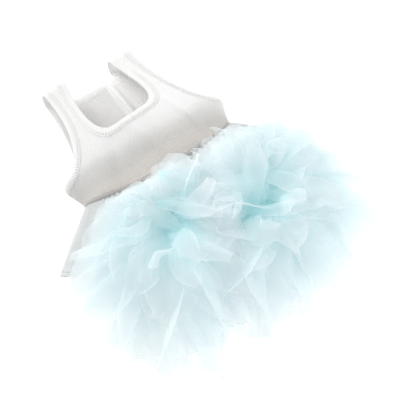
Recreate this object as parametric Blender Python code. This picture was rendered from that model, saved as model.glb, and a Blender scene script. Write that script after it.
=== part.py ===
# A small dog's dress: a ribbed knit vest with bound edges, a short flared underskirt
# and two large tulle rosettes. It lies on its back, puffed open, with the neck towards
# +Y and the skirt towards -Y. Lengths are in metres. While it is made, y is measured from
# the two side ends of the waist seam. At the end an empty moves the whole dress, so that
# the origin lies on the floor under its middle.

import itertools
import math

import bmesh
import bpy
import numpy as np

# Vest, as it lies
CHEST_WIDTH = 0.188
WAIST_WIDTH = 0.173
SHOULDER_WIDTH = 0.122
SHOULDER_HEIGHT = 0.032
CHEST_HEIGHT = 0.047
WAIST_HEIGHT = 0.041
SIDE_SEAM = 0.028
ARMHOLE_DEPTH = 0.113
SHOULDER_ROLL = 0.009
WAIST_DIP = 0.020
BACK_WAIST_DIP = 0.006

# Neck and straps
NECK_LEFT = 0.038
NECK_RIGHT = 0.035
STRAP_GAP = 0.056
STRAP_WIDTH = 0.0245
STRAP_TILT = 0.009
FRONT_NECK_DEPTH = 0.089
BACK_NECK_DEPTH = 0.013
NECK_BINDING_WIDTH = 0.0095
LEG_BINDING_WIDTH = 0.008

# Cloth
KNIT_WALL = 0.0018
BINDING_WALL = 0.0026
BINDING_PROUD = 0.0003
UNDERSKIRT_WALL = 0.0012
TULLE_WALL = 0.0012
SEAM_GAP = 0.0004
BINDING_GAP = 0.0011

# Underskirt
UNDERSKIRT_WIDTH = 0.286
UNDERSKIRT_SIDE = 0.046
UNDERSKIRT_MIDDLE = 0.125
UNDERSKIRT_HEIGHT = 0.030
UNDERSKIRT_WAVE = 0.0065

# Rosettes
ROSETTE_SPACING = 0.081
ROSETTE_SKEW = math.radians(-21.8)
ROSETTES_ACROSS = -0.0045
ROSETTES_BELOW = 0.097
PETAL_REACH = 0.143
CROWN_HEIGHT = 0.096
KNOT_WIDTH = 0.022
KNOT_HEIGHT = 0.020
PETAL_RUFFLE = 0.0050
PETAL_CLEARANCE = 0.0020
TIER_CLEARANCE = 0.0025
NEIGHBOUR_GAP = 0.0025

# Form of the body's section: 1 is an ellipse, less is squarer
SECTION_POWER = 0.83
SIDE_LEVEL = 0.42
FLOOR_FLATNESS = 1.18
SCOOP_POWER = 0.38
ARMHOLE_POWER = 1.5

# Where the straps begin: a share of the neckline's length and of the leg hole's curve
STRAP_STARTS = {
    "front": {"neck": 0.44, "leg": 0.54},
    "back": {"neck": 0.80, "leg": 0.80},
}

# How finely the cloth is divided
NECK_STEPS = 6
STRAP_CELLS = 2
LEG_STEPS = 5
STRAP_STEPS = 5
ROLL_STEPS = 3
PANEL_ROWS = 6
UNDERSKIRT_STEPS = 5
UNDERSKIRT_WAVES = 13
PETALS = 17
PETAL_STEPS = 3
FIN_STATIONS = (0.30, 0.60, 0.84, 1.0)

# How high a pressed petal stands: its gain for each length lost, and the highest, as a
# share of the crown
PRESSED_RISE = 0.85
PRESSED_HEIGHT = 0.80
PRESSED_CORNER = 12.0

# Petals: the power of their fall, how far round a point the cloth below is felt, the reach
# at which they ruffle fully, and their shortest and longest as a share of the outline
PETAL_FALL = 1.8
CLOTH_REACH = 0.013
FULL_RUFFLE_REACH = 0.060
PETAL_LENGTHS = (0.90, 1.04)

# Working values: how far a probe stands off the cloth, the weld of its points, and how
# many samples a curve or a facet takes
PROBE_OFFSET = 0.010
WELD = 0.00001
CURVE_SAMPLES = 200
CLOTH_SAMPLES = 5

SHOULDER_Y = SIDE_SEAM + ARMHOLE_DEPTH
ROLL_Y = SHOULDER_Y - SHOULDER_ROLL
WAIST_STEPS = NECK_STEPS + STRAP_CELLS + LEG_STEPS

# Soft folds in the vest. across is a share of half the chest, start and end are shares of
# the height from waist to shoulder, width is a share of the chest and rise of its height.
VEST_FOLDS = (
    {"panel": "back", "across": 0.19, "start": 0.84, "end": 0.42, "width": 0.036, "rise": 0.13},
    {"panel": "back", "across": -0.34, "start": 0.70, "end": 0.20, "width": 0.060, "rise": 0.05},
    {"panel": "front", "across": 0.78, "start": 0.12, "end": -0.14, "width": 0.110, "rise": -0.14},
    {"panel": "front", "across": 0.38, "start": 0.20, "end": -0.16, "width": 0.130, "rise": 0.05},
    {"panel": "front", "across": -0.30, "start": 0.30, "end": -0.16, "width": 0.130, "rise": -0.06},
    {"panel": "front", "across": -0.74, "start": 0.12, "end": -0.12, "width": 0.090, "rise": 0.06},
)

# Free reach of the petals round each knot, anticlockwise from +X, as a share of
# PETAL_REACH, and the height of the lowest tier's ends as a share of CROWN_HEIGHT
ROSETTE_OUTLINE = (
    {"degrees": 0, "left_reach": 0.80, "left_end": 0.10, "right_reach": 0.87, "right_end": 0.10},
    {"degrees": 30, "left_reach": 0.62, "left_end": 0.40, "right_reach": 0.94, "right_end": 0.22},
    {"degrees": 60, "left_reach": 0.50, "left_end": 0.56, "right_reach": 0.86, "right_end": 0.42},
    {"degrees": 90, "left_reach": 0.45, "left_end": 0.56, "right_reach": 0.66, "right_end": 0.56},
    {"degrees": 120, "left_reach": 0.46, "left_end": 0.50, "right_reach": 0.68, "right_end": 0.40},
    {"degrees": 150, "left_reach": 0.56, "left_end": 0.40, "right_reach": 0.80, "right_end": 0.20},
    {"degrees": 180, "left_reach": 0.75, "left_end": 0.22, "right_reach": 0.80, "right_end": 0.10},
    {"degrees": 210, "left_reach": 0.95, "left_end": 0.02, "right_reach": 0.80, "right_end": 0.02},
    {"degrees": 240, "left_reach": 1.00, "left_end": 0.01, "right_reach": 0.78, "right_end": 0.01},
    {"degrees": 270, "left_reach": 0.97, "left_end": 0.01, "right_reach": 0.68, "right_end": 0.01},
    {"degrees": 300, "left_reach": 0.92, "left_end": 0.05, "right_reach": 0.72, "right_end": 0.01},
    {"degrees": 330, "left_reach": 0.85, "left_end": 0.10, "right_reach": 0.87, "right_end": 0.02},
)

# Tiers of petals from the lowest up. reach is a share of the outline, rise lifts the ends
# towards the crown, arch is the bow of a petal as a share of CROWN_HEIGHT, root is the
# height on the knot, notch is the depth between petals, turn shifts them by a share and
# pressed is the share of the way to the other rosette that a pressed petal may take.
PETAL_TIERS = (
    {
        "reach": 1.00, "rise": 0.00, "arch": 0.24, "root": 0.25,
        "notch": 0.15, "turn": 0.0, "pressed": 1.0,
    },
    {
        "reach": 0.79, "rise": 0.48, "arch": 0.20, "root": 0.55,
        "notch": 0.18, "turn": 0.5, "pressed": 0.80,
    },
    {
        "reach": 0.48, "rise": 0.84, "arch": 0.08, "root": 0.85,
        "notch": 0.22, "turn": 0.25, "pressed": 0.56,
    },
)

MATERIALS = {
    "rib_knit": {"colour": (0.90, 0.90, 0.89), "roughness": 0.92},
    "rib_binding": {"colour": (0.93, 0.93, 0.93), "roughness": 0.90},
    "underskirt_cloth": {"colour": (0.83, 0.87, 0.85), "roughness": 0.70},
    "tulle": {"colour": (0.66, 0.87, 0.88), "roughness": 0.80},
}


def clear_scene():
    for thing in list(bpy.data.objects):
        bpy.data.objects.remove(thing, do_unlink=True)


def material(name):
    values = MATERIALS[name]
    made = bpy.data.materials.get(name) or bpy.data.materials.new(name)
    made.use_nodes = True
    shader = made.node_tree.nodes["Principled BSDF"]
    shader.inputs["Base Color"].default_value = (*values["colour"], 1.0)
    shader.inputs["Roughness"].default_value = values["roughness"]
    shader.inputs["Metallic"].default_value = 0.0
    return made


def mix(first, second, share):
    return first + (second - first) * share


def eased(share):
    share = min(max(share, 0.0), 1.0)
    return share * share * (3.0 - 2.0 * share)


def signed_power(value, power):
    return math.copysign(abs(value) ** power, value)


# The body's section. turn goes round it: 0 at the middle of the front, a quarter turn at
# the right side seam, half a turn at the middle of the back, which lies on the floor.


def half_width(y):
    if y >= SIDE_SEAM:
        share = min(max((SHOULDER_Y - y) / ARMHOLE_DEPTH, 0.0), 1.0)
        return mix(SHOULDER_WIDTH, CHEST_WIDTH, share**ARMHOLE_POWER) / 2.0
    return mix(WAIST_WIDTH, CHEST_WIDTH, eased(y / SIDE_SEAM)) / 2.0


def section_height(y):
    if y >= SIDE_SEAM:
        return mix(SHOULDER_HEIGHT, CHEST_HEIGHT, eased((SHOULDER_Y - y) / ARMHOLE_DEPTH))
    return mix(WAIST_HEIGHT, CHEST_HEIGHT, eased(y / SIDE_SEAM))


def shoulder_roll(y):
    past = max(y - ROLL_Y, 0.0) / SHOULDER_ROLL
    return math.sqrt(max(1.0 - past * past, 0.0))


def section_point(width, height, side, turn, roll=1.0):
    across = signed_power(math.sin(turn), SECTION_POWER)
    up = signed_power(math.cos(turn), SECTION_POWER)
    if up > 0.0:
        return width * across, side + (height - side) * up * roll
    return width * across, side + side * FLOOR_FLATNESS * up * roll


def fold_rise(turn, y):
    front = math.cos(turn) > 0.0
    across = signed_power(math.sin(turn), SECTION_POWER)
    x = half_width(y) * across
    along = y / SHOULDER_Y
    rise = 0.0
    for fold in VEST_FOLDS:
        if front != (fold["panel"] == "front"):
            continue
        offset = (x - fold["across"] * CHEST_WIDTH / 2.0) / (fold["width"] * CHEST_WIDTH)
        middle = (fold["start"] + fold["end"]) / 2.0
        reach = (fold["start"] - fold["end"]) / 2.0
        fade = max(1.0 - ((along - middle) / reach) ** 2, 0.0)
        rise += fold["rise"] * CHEST_HEIGHT * math.exp(-offset * offset) * fade
    return rise * abs(math.cos(turn))


def strap_tilt(turn, x, y):
    # The right strap leans in towards the neck, so its neck side lies lower
    across = eased((STRAP_GAP / 2.0 + STRAP_WIDTH - x) / STRAP_WIDTH)
    along = eased((y - SIDE_SEAM) / ARMHOLE_DEPTH)
    if x <= 0.0 or math.cos(turn) <= 0.0:
        return 0.0
    return -STRAP_TILT * across * along * eased(x / (STRAP_GAP / 2.0))


def vest_point(turn, y, floor=0.0):
    height = section_height(y)
    x, z = section_point(half_width(y), height, SIDE_LEVEL * height, turn, shoulder_roll(y))
    rise = fold_rise(turn, y) + strap_tilt(turn, x, y)
    return x, y, max(z, 0.0) + floor + rise * shoulder_roll(y)


def turn_at(x, y):
    share = min(abs(x) / half_width(y), 1.0)
    return math.asin(share ** (1.0 / SECTION_POWER))


# Edges of one half of a panel, as lists of (turn, y) from the middle or the underarm up


def shared_out(points, corner, before, after):
    # Points spread along a curve, so many before the corner's share of its length and after
    points = np.array(points)
    lengths = np.hypot(*np.diff(points, axis=0).T)
    along = np.concatenate([[0.0], np.cumsum(lengths)])
    shares = np.concatenate([
        np.linspace(0.0, corner, before + 1),
        np.linspace(corner, 1.0, after + 1)[1:],
    ])
    wanted = shares * along[-1]
    return list(zip(np.interp(wanted, along, points[:, 0]), np.interp(wanted, along, points[:, 1])))


def roll_levels():
    angles = [(step + 1) * math.pi / 2.0 / ROLL_STEPS for step in range(ROLL_STEPS)]
    return [ROLL_Y + SHOULDER_ROLL * math.sin(angle) for angle in angles]


def neck_edge(front, right, offset):
    depth = (FRONT_NECK_DEPTH if front else BACK_NECK_DEPTH) - SHOULDER_ROLL + offset
    strap = STRAP_GAP / 2.0 + offset
    scoop = (NECK_RIGHT if right else NECK_LEFT) + offset if front else strap
    curve = []
    for step in range(CURVE_SAMPLES + 1):
        angle = math.pi / 2.0 * step / CURVE_SAMPLES
        share = 1.0 - math.cos(angle) ** SCOOP_POWER
        width = mix(scoop, strap, share * share)
        curve.append((width * math.sin(angle) ** SCOOP_POWER, ROLL_Y - depth * (1.0 - share)))
    corner = STRAP_STARTS["front" if front else "back"]["neck"]
    curve = shared_out(curve, corner, NECK_STEPS, STRAP_STEPS)
    edge = [(turn_at(x, y), y) for x, y in curve]
    return edge + [(turn_at(strap, y), y) for y in roll_levels()]


def leg_edge(front, offset):
    strap = STRAP_GAP / 2.0 + STRAP_WIDTH - offset
    bottom = SIDE_SEAM - offset
    corner = STRAP_STARTS["front" if front else "back"]["leg"]
    shares = [corner * step / LEG_STEPS for step in range(LEG_STEPS)]
    shares += [mix(corner, 1.0, step / STRAP_STEPS) for step in range(STRAP_STEPS + 1)]
    edge = []
    for share in shares:
        angle = math.pi / 2.0 * share
        y = mix(bottom, ROLL_Y, 1.0 - math.cos(angle))
        edge.append((turn_at(mix(half_width(bottom), strap, math.sin(angle)), y), y))
    return edge + [(turn_at(strap, y), y) for y in roll_levels()]


def waist_y(turn):
    dip = WAIST_DIP if math.cos(turn) > 0.0 else BACK_WAIST_DIP
    return -dip * abs(math.cos(turn)) ** 1.5


def placed(front, right, turn):
    turn = turn if front else math.pi - turn
    return turn if right else -turn


# Meshes


def new_object(name, points, faces, material_name):
    mesh = bpy.data.meshes.new(name)
    mesh.from_pydata(points, [], faces)
    made = bpy.data.objects.new(name, mesh)
    bpy.context.scene.collection.objects.link(made)
    mesh.materials.append(material(material_name))
    return made


def weld_and_face_out(made, probe):
    # probe is a point just outside the cloth: the nearest face has to look at it
    work = bmesh.new()
    work.from_mesh(made.data)
    bmesh.ops.remove_doubles(work, verts=work.verts, dist=WELD)
    bmesh.ops.recalc_face_normals(work, faces=work.faces)
    work.faces.ensure_lookup_table()
    centres = np.array([face.calc_center_median() for face in work.faces])
    nearest = int(np.argmin(np.linalg.norm(centres - np.array(probe), axis=1)))
    face = work.faces[nearest]
    if np.dot(np.array(face.normal), np.array(probe) - centres[nearest]) < 0.0:
        bmesh.ops.reverse_faces(work, faces=work.faces)
    work.to_mesh(made.data)
    work.free()
    made.data.shade_smooth()


def thicken(made, wall, outwards=0.0):
    solid = made.modifiers.new("wall", "SOLIDIFY")
    solid.thickness = wall
    solid.offset = -1.0 + 2.0 * outwards / wall
    solid.use_even_offset = True
    solid.use_quality_normals = True


def grid_faces(rows, columns, start=0):
    faces = []
    for row in range(rows - 1):
        for column in range(columns - 1):
            low = start + row * columns + column
            faces.append((low, low + 1, low + columns + 1, low + columns))
    return faces


def grid(lines, front, right):
    # A sheet between neighbouring lines of (turn, y), each with the same count of points
    points = []
    for line in lines:
        points += [vest_point(placed(front, right, turn), y) for turn, y in line]
    return points


def between(first, last, steps):
    return [
        (mix(first[0], last[0], step / steps), mix(first[1], last[1], step / steps))
        for step in range(steps + 1)
    ]


def rib_line(front, top):
    # From the waist to a point of the panel's upper edge, up one rib of the knit. Above the
    # side seam a rib keeps its distance from the middle, while the body grows narrower.
    top_turn, top_y = top
    x = half_width(top_y) * signed_power(math.sin(top_turn), SECTION_POWER)
    low_turn = top_turn if top_y <= SIDE_SEAM else turn_at(x, SIDE_SEAM)
    waist = waist_y(low_turn if front else math.pi - low_turn)
    line = []
    for row in range(PANEL_ROWS + 1):
        y = mix(waist, top_y, row / PANEL_ROWS)
        line.append((low_turn if y <= SIDE_SEAM else turn_at(x, y), y))
    return line


def panel_lines(front, right):
    # Lines up the panel from the waist to its upper edge, and lines across the strap
    neck = neck_edge(front, right, NECK_BINDING_WIDTH + BINDING_GAP)
    leg = leg_edge(front, LEG_BINDING_WIDTH + BINDING_GAP)
    strap_base = between(neck[NECK_STEPS], leg[LEG_STEPS], STRAP_CELLS)
    tops = neck[:NECK_STEPS] + strap_base + leg[:LEG_STEPS][::-1]
    up = [rib_line(front, top) for top in tops]
    pairs = zip(neck[NECK_STEPS:], leg[LEG_STEPS:])
    across = [between(inner, outer, STRAP_CELLS) for inner, outer in pairs]
    return up, across


def make_vest():
    points = []
    faces = []
    for front, right in itertools.product((True, False), repeat=2):
        for lines in panel_lines(front, right):
            faces += grid_faces(len(lines), len(lines[0]), len(points))
            points += grid(lines, front, right)
    vest = new_object("vest", points, faces, "rib_knit")
    weld_and_face_out(vest, (0.0, 0.0, WAIST_HEIGHT + PROBE_OFFSET))
    thicken(vest, KNIT_WALL)


def band(name, edge, seam, closed_probe):
    points = []
    for pair in zip(edge, seam):
        for turn, y in pair:
            points.append(vest_point(turn, y, BINDING_PROUD))
    count = len(edge)
    faces = []
    for step in range(count):
        here = 2 * step
        after = 2 * ((step + 1) % count)
        faces.append((here, here + 1, after + 1, after))
    made = new_object(name, points, faces, "rib_binding")
    weld_and_face_out(made, closed_probe)
    thicken(made, BINDING_WALL, BINDING_PROUD)
    return made


def loop_round_neck(offset):
    loop = []
    for front, right, rising in ((1, 1, 1), (0, 1, 0), (0, 0, 1), (1, 0, 0)):
        half = neck_edge(front, right, offset)
        half = half if rising else half[::-1]
        loop += [(placed(front, right, turn), y) for turn, y in half[:-1]]
    return loop


def loop_round_leg(offset, right):
    loop = [(placed(True, right, turn), y) for turn, y in leg_edge(True, offset)[:-1]]
    back = leg_edge(False, offset)[:0:-1]
    return loop + [(placed(False, right, turn), y) for turn, y in back]


def make_bindings():
    above = (0.0, ROLL_Y - FRONT_NECK_DEPTH, CHEST_HEIGHT + PROBE_OFFSET)
    band("neck_binding", loop_round_neck(0.0), loop_round_neck(NECK_BINDING_WIDTH), above)
    for name, right, side in (("left_leg_binding", False, -1.0), ("right_leg_binding", True, 1.0)):
        beside = (side * CHEST_WIDTH, SIDE_SEAM, SIDE_LEVEL * CHEST_HEIGHT)
        edges = (loop_round_leg(0.0, right), loop_round_leg(LEG_BINDING_WIDTH, right))
        band(name, *edges, beside)


def underskirt_point(turn, share):
    front = max(math.cos(turn), 0.0)
    length = mix(UNDERSKIRT_SIDE, UNDERSKIRT_MIDDLE, front**1.5)
    y = waist_y(turn) - SEAM_GAP - length * share
    width = mix(WAIST_WIDTH, UNDERSKIRT_WIDTH, share**0.9) / 2.0
    height = mix(WAIST_HEIGHT, UNDERSKIRT_HEIGHT, share)
    x, z = section_point(width, height, SIDE_LEVEL * height, turn)
    wave = UNDERSKIRT_WAVE * share * math.cos(UNDERSKIRT_WAVES * turn)
    wave *= mix(0.35, 1.0, math.sin(turn) ** 2)
    return x + wave * math.sin(turn), y, max(z + wave * math.cos(turn), 0.0)


def make_underskirt():
    around = 4 * WAIST_STEPS
    rows = UNDERSKIRT_STEPS + 1
    points = []
    for row in range(rows):
        for step in range(around):
            points.append(underskirt_point(step * 2.0 * math.pi / around, row / UNDERSKIRT_STEPS))
    faces = []
    for row in range(rows - 1):
        for step in range(around):
            after = (step + 1) % around
            faces.append((
                row * around + step,
                row * around + after,
                (row + 1) * around + after,
                (row + 1) * around + step,
            ))
    underskirt = new_object("underskirt", points, faces, "underskirt_cloth")
    weld_and_face_out(underskirt, (0.0, -UNDERSKIRT_SIDE, WAIST_HEIGHT + PROBE_OFFSET))
    thicken(underskirt, UNDERSKIRT_WALL)


# Rosettes


def cloth_below():
    # Points of the cloth that the petals lie on: the underskirt's facets, and the vest's
    # front from its waist to the side seam's top
    around = 4 * WAIST_STEPS
    points = []
    for step in range(-WAIST_STEPS, WAIST_STEPS):
        turns = [turn * 2.0 * math.pi / around for turn in (step, step + 1)]
        for row in range(UNDERSKIRT_STEPS):
            shares = (row / UNDERSKIRT_STEPS, (row + 1) / UNDERSKIRT_STEPS)
            corners = np.array([[underskirt_point(turn, share) for turn in turns] for share in shares])
            for u, v in np.ndindex(CLOTH_SAMPLES, CLOTH_SAMPLES):
                side = mix(corners[0], corners[1], u / (CLOTH_SAMPLES - 1))
                points.append(mix(side[0], side[1], v / (CLOTH_SAMPLES - 1)))
        for row in range(2 * CLOTH_SAMPLES - 1):
            share = row / (2 * CLOTH_SAMPLES - 2)
            points.append(vest_point(turns[0], mix(waist_y(turns[0]), SIDE_SEAM, share)))
    return np.array(points)


def height_below(cloth, x, y, radius):
    near = np.hypot(cloth[:, 0] - x, cloth[:, 1] - y) < radius
    return float(cloth[near, 2].max()) if near.any() else 0.0


def outline_value(column, angle):
    degrees = math.degrees(angle) % 360.0
    step = 360.0 / len(ROSETTE_OUTLINE)
    low = int(degrees // step) % len(ROSETTE_OUTLINE)
    high = (low + 1) % len(ROSETTE_OUTLINE)
    share = eased((degrees - low * step) / step)
    return mix(ROSETTE_OUTLINE[low][column], ROSETTE_OUTLINE[high][column], share)


def pressed(reach, side, angle, share):
    # A petal that would cross the plane between the knots is pressed up against it
    towards = ROSETTE_SKEW if side == "left" else ROSETTE_SKEW + math.pi
    facing = math.cos(angle - towards)
    if facing <= 0.0:
        return reach
    plane = share * (ROSETTE_SPACING / 2.0 - NEIGHBOUR_GAP) / facing
    return (reach**-PRESSED_CORNER + plane**-PRESSED_CORNER) ** (-1.0 / PRESSED_CORNER)


def petal_lengths(side):
    drawn = np.random.default_rng(11 if side == "left" else 23)
    return drawn.uniform(*PETAL_LENGTHS, (len(PETAL_TIERS), PETALS))


def fin(side, tier, lengths, angle, base):
    # One radial line through a tier: its middle from the knot to the petal's end
    place = (angle / (2.0 * math.pi) * PETALS + tier["turn"]) % PETALS
    between = 0.5 - 0.5 * math.cos(2.0 * math.pi * place)
    petal = lengths[int(round(place)) % PETALS] * (1.0 - tier["notch"] * between)
    free = PETAL_REACH * outline_value(side + "_reach", angle) * tier["reach"] * petal
    reach = pressed(free, side, angle, tier["pressed"])
    end = CROWN_HEIGHT * mix(outline_value(side + "_end", angle), 1.0, tier["rise"])
    highest = CROWN_HEIGHT * mix(PRESSED_HEIGHT, 1.0, tier["rise"])
    end = min(end + PRESSED_RISE * (free - reach), highest)
    root = base + KNOT_HEIGHT * tier["root"]
    arch = CROWN_HEIGHT * tier["arch"] * reach / free
    line = []
    for share in (0.0, *FIN_STATIONS):
        radius = mix(KNOT_WIDTH / 2.0, reach, share)
        height = root + (end - root) * share**PETAL_FALL + arch * 4.0 * share * (1.0 - share)
        line.append((radius, height, share, between))
    return line


def fin_sides(line, centre, angle, cloth, below):
    # The two faces of the tulle, half a wall to each side of the line. The line keeps off
    # the cloth and above the tier below it, and comes back as it was laid.
    under = []
    over = []
    laid = []
    for index, (radius, height, share, between) in enumerate(line):
        before = line[max(index - 1, 0)]
        after = line[min(index + 1, len(line) - 1)]
        along = np.array([after[0] - before[0], after[1] - before[1]])
        normal = np.array([-along[1], along[0]]) / np.linalg.norm(along)
        ruffle = PETAL_RUFFLE * share * share * (between - 0.5) * min(radius / FULL_RUFFLE_REACH, 1.0)
        middle = np.array([radius, height]) + normal * ruffle
        x = centre[0] + middle[0] * math.cos(angle)
        y = centre[1] + middle[0] * math.sin(angle)
        floor = height_below(cloth, x, y, CLOTH_REACH)
        clear = PETAL_CLEARANCE if floor > 0.0 else 0.0
        middle[1] = max(middle[1], floor + clear + TULLE_WALL / 2.0)
        if below and middle[0] < below[-1][0]:
            lowest = np.interp(middle[0], *zip(*below)) + TULLE_WALL + TIER_CLEARANCE
            middle[1] = max(middle[1], lowest)
        laid.append(tuple(middle))
        lower = middle - normal * TULLE_WALL / 2.0
        upper = middle + normal * TULLE_WALL / 2.0
        lower[1] = max(lower[1], 0.0)
        under.append(lower)
        over.append(upper)
    return under, over, laid


def make_rosette(side, centre, cloth):
    base = height_below(cloth, centre[0], centre[1], KNOT_WIDTH * 0.6) + SEAM_GAP
    lengths = petal_lengths(side)
    around = PETALS * PETAL_STEPS
    points = []
    for step in range(around):
        angle = step * 2.0 * math.pi / around
        profile = [(KNOT_WIDTH / 2.0, base)]
        below = []
        for tier, row in zip(PETAL_TIERS, lengths):
            line = fin(side, tier, row, angle, base)
            under, over, below = fin_sides(line, centre, angle, cloth, below)
            profile += under + over[::-1]
        profile.append((KNOT_WIDTH / 4.0, base + KNOT_HEIGHT))
        for radius, height in profile:
            x = centre[0] + radius * math.cos(angle)
            y = centre[1] + radius * math.sin(angle)
            points.append((x, y, height))
    rows = len(profile)
    faces = []
    for step in range(around):
        here = step * rows
        after = (step + 1) % around * rows
        for row in range(rows - 1):
            faces.append((here + row, after + row, after + row + 1, here + row + 1))
    bottom = len(points)
    points += [(*centre, base), (*centre, base + KNOT_HEIGHT * 0.8)]
    for step in range(around):
        here = step * rows
        after = (step + 1) % around * rows
        faces.append((bottom, after, here))
        faces.append((bottom + 1, here + rows - 1, after + rows - 1))
    rosette = new_object(side + "_rosette", points, faces, "tulle")
    weld_and_face_out(rosette, (*centre, base - PROBE_OFFSET))


def make_rosettes():
    cloth = cloth_below()
    half = ROSETTE_SPACING / 2.0
    for side, sign in (("left", -1.0), ("right", 1.0)):
        x = ROSETTES_ACROSS + sign * half * math.cos(ROSETTE_SKEW)
        y = -ROSETTES_BELOW + sign * half * math.sin(ROSETTE_SKEW)
        make_rosette(side, (x, y), cloth)


def set_origin():
    # The empty carries every piece, so that the middle of the dress's box is over the origin
    bpy.context.view_layer.update()
    graph = bpy.context.evaluated_depsgraph_get()
    pieces = [thing for thing in bpy.data.objects if thing.type == "MESH"]
    corners = []
    for piece in pieces:
        shown = piece.evaluated_get(graph)
        corners += [shown.matrix_world @ vertex.co for vertex in shown.data.vertices]
    corners = np.array(corners)
    middle = (corners.min(axis=0) + corners.max(axis=0)) / 2.0
    carrier = bpy.data.objects.new("dress_origin", None)
    bpy.context.scene.collection.objects.link(carrier)
    carrier.location = (-middle[0], -middle[1], -corners[:, 2].min())
    for piece in pieces:
        piece.parent = carrier


def main():
    clear_scene()
    make_vest()
    make_bindings()
    make_underskirt()
    make_rosettes()
    set_origin()


main()
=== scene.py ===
import math

import bmesh
import bpy
import numpy as np
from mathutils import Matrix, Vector
from mathutils.bvhtree import BVHTree


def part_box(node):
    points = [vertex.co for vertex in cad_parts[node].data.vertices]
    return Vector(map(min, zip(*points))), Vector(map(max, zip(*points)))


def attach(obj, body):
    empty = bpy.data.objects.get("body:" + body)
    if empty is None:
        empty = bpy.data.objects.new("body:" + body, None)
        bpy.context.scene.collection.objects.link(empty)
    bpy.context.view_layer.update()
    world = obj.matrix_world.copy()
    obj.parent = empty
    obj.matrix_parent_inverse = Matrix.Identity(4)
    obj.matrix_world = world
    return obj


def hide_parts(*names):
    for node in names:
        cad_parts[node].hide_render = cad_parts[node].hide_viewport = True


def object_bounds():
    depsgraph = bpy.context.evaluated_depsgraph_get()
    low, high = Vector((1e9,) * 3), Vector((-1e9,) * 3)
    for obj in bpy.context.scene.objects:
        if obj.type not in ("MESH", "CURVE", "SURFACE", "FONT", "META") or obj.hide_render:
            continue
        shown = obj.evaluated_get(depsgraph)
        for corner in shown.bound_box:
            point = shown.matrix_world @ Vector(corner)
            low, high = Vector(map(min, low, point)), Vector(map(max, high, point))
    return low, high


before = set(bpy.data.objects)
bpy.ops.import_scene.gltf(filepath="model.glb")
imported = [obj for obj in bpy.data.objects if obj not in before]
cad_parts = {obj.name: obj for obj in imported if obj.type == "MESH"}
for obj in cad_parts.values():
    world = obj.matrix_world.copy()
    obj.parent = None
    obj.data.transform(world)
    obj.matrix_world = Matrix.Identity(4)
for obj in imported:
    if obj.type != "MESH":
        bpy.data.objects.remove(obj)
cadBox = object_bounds()
print("frame loaded", [[round(value, 4) for value in corner] for corner in cadBox])


# The dress lies as it was packed. Lengths in metres, y runs from the skirt to the neck.
body = {
    "chestWidth": 0.188, "waistWidth": 0.173, "shoulderWidth": 0.122,
    "shoulderHeight": 0.032, "chestHeight": 0.047, "waistHeight": 0.041,
    "sideSeam": 0.028, "armholeDepth": 0.113, "shoulderRoll": 0.009,
    "waistDip": 0.020, "backWaistDip": 0.006,
    "sectionPower": 0.83, "sideLevel": 0.42, "floorFlatness": 1.18,
    "neckLeft": 0.038, "neckRight": 0.035, "strapGap": 0.056, "strapWidth": 0.0245,
    "strapTilt": 0.009, "neckTilt": 0.11, "frontNeckDepth": 0.089, "backNeckDepth": 0.013,
    "scoopPower": 0.38, "armholePower": 1.5,
    "neckBandWidth": 0.0095, "legBandWidth": 0.008,
}
shoulderY = body["sideSeam"] + body["armholeDepth"]
rollY = shoulderY - body["shoulderRoll"]
vestLow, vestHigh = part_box("vest")
originX = (vestLow[0] + vestHigh[0]) / 2.0
originY = vestHigh[1] - shoulderY


# Shape rules

def mix(first, second, share):
    return first + (second - first) * share


def eased(share):
    share = np.clip(share, 0.0, 1.0)
    return share * share * (3.0 - 2.0 * share)


def halfWidth(y):
    y = np.asarray(y, float)
    share = np.clip((shoulderY - y) / body["armholeDepth"], 0.0, 1.0)
    above = mix(body["shoulderWidth"], body["chestWidth"], share ** body["armholePower"])
    below = mix(body["waistWidth"], body["chestWidth"], eased(y / body["sideSeam"]))
    return np.where(y >= body["sideSeam"], above, below) / 2.0


def sectionHeight(y):
    y = np.asarray(y, float)
    rising = eased((shoulderY - y) / body["armholeDepth"])
    above = mix(body["shoulderHeight"], body["chestHeight"], rising)
    below = mix(body["waistHeight"], body["chestHeight"], eased(y / body["sideSeam"]))
    return np.where(y >= body["sideSeam"], above, below)


def sectionPoint(width, height, side, turn, roll=1.0):
    across = np.sign(np.sin(turn)) * np.abs(np.sin(turn)) ** body["sectionPower"]
    up = np.sign(np.cos(turn)) * np.abs(np.cos(turn)) ** body["sectionPower"]
    lifted = np.where(up > 0.0, (height - side) * up, side * body["floorFlatness"] * up)
    return width * across, side + lifted * roll


# Soft folds: across is a share of half the chest, start and end of the way from waist to
# shoulder, width of the chest, rise of its height, and lean shifts a fold as it goes up.
vestFolds = (
    {"front": False, "across": 0.19, "start": 0.92, "end": 0.38, "width": 0.019, "rise": 0.16, "lean": 0.0},
    {"front": False, "across": -0.34, "start": 0.70, "end": 0.20, "width": 0.060, "rise": 0.05, "lean": 0.0},
    {"front": True, "across": 0.78, "start": 0.12, "end": -0.14, "width": 0.110, "rise": -0.14, "lean": 0.0},
    {"front": True, "across": 0.38, "start": 0.20, "end": -0.16, "width": 0.130, "rise": 0.05, "lean": 0.0},
    {"front": True, "across": -0.30, "start": 0.30, "end": -0.16, "width": 0.130, "rise": -0.045, "lean": 0.0},
    {"front": True, "across": -0.74, "start": 0.12, "end": -0.12, "width": 0.090, "rise": 0.06, "lean": 0.0},
    {"front": True, "across": 0.10, "start": 0.42, "end": -0.10, "width": 0.030, "rise": 0.030, "lean": -0.5},
    {"front": True, "across": 0.60, "start": 0.40, "end": -0.10, "width": 0.026, "rise": 0.034, "lean": -0.4},
    {"front": True, "across": -0.50, "start": 0.46, "end": -0.05, "width": 0.030, "rise": -0.028, "lean": 0.5},
)


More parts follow.
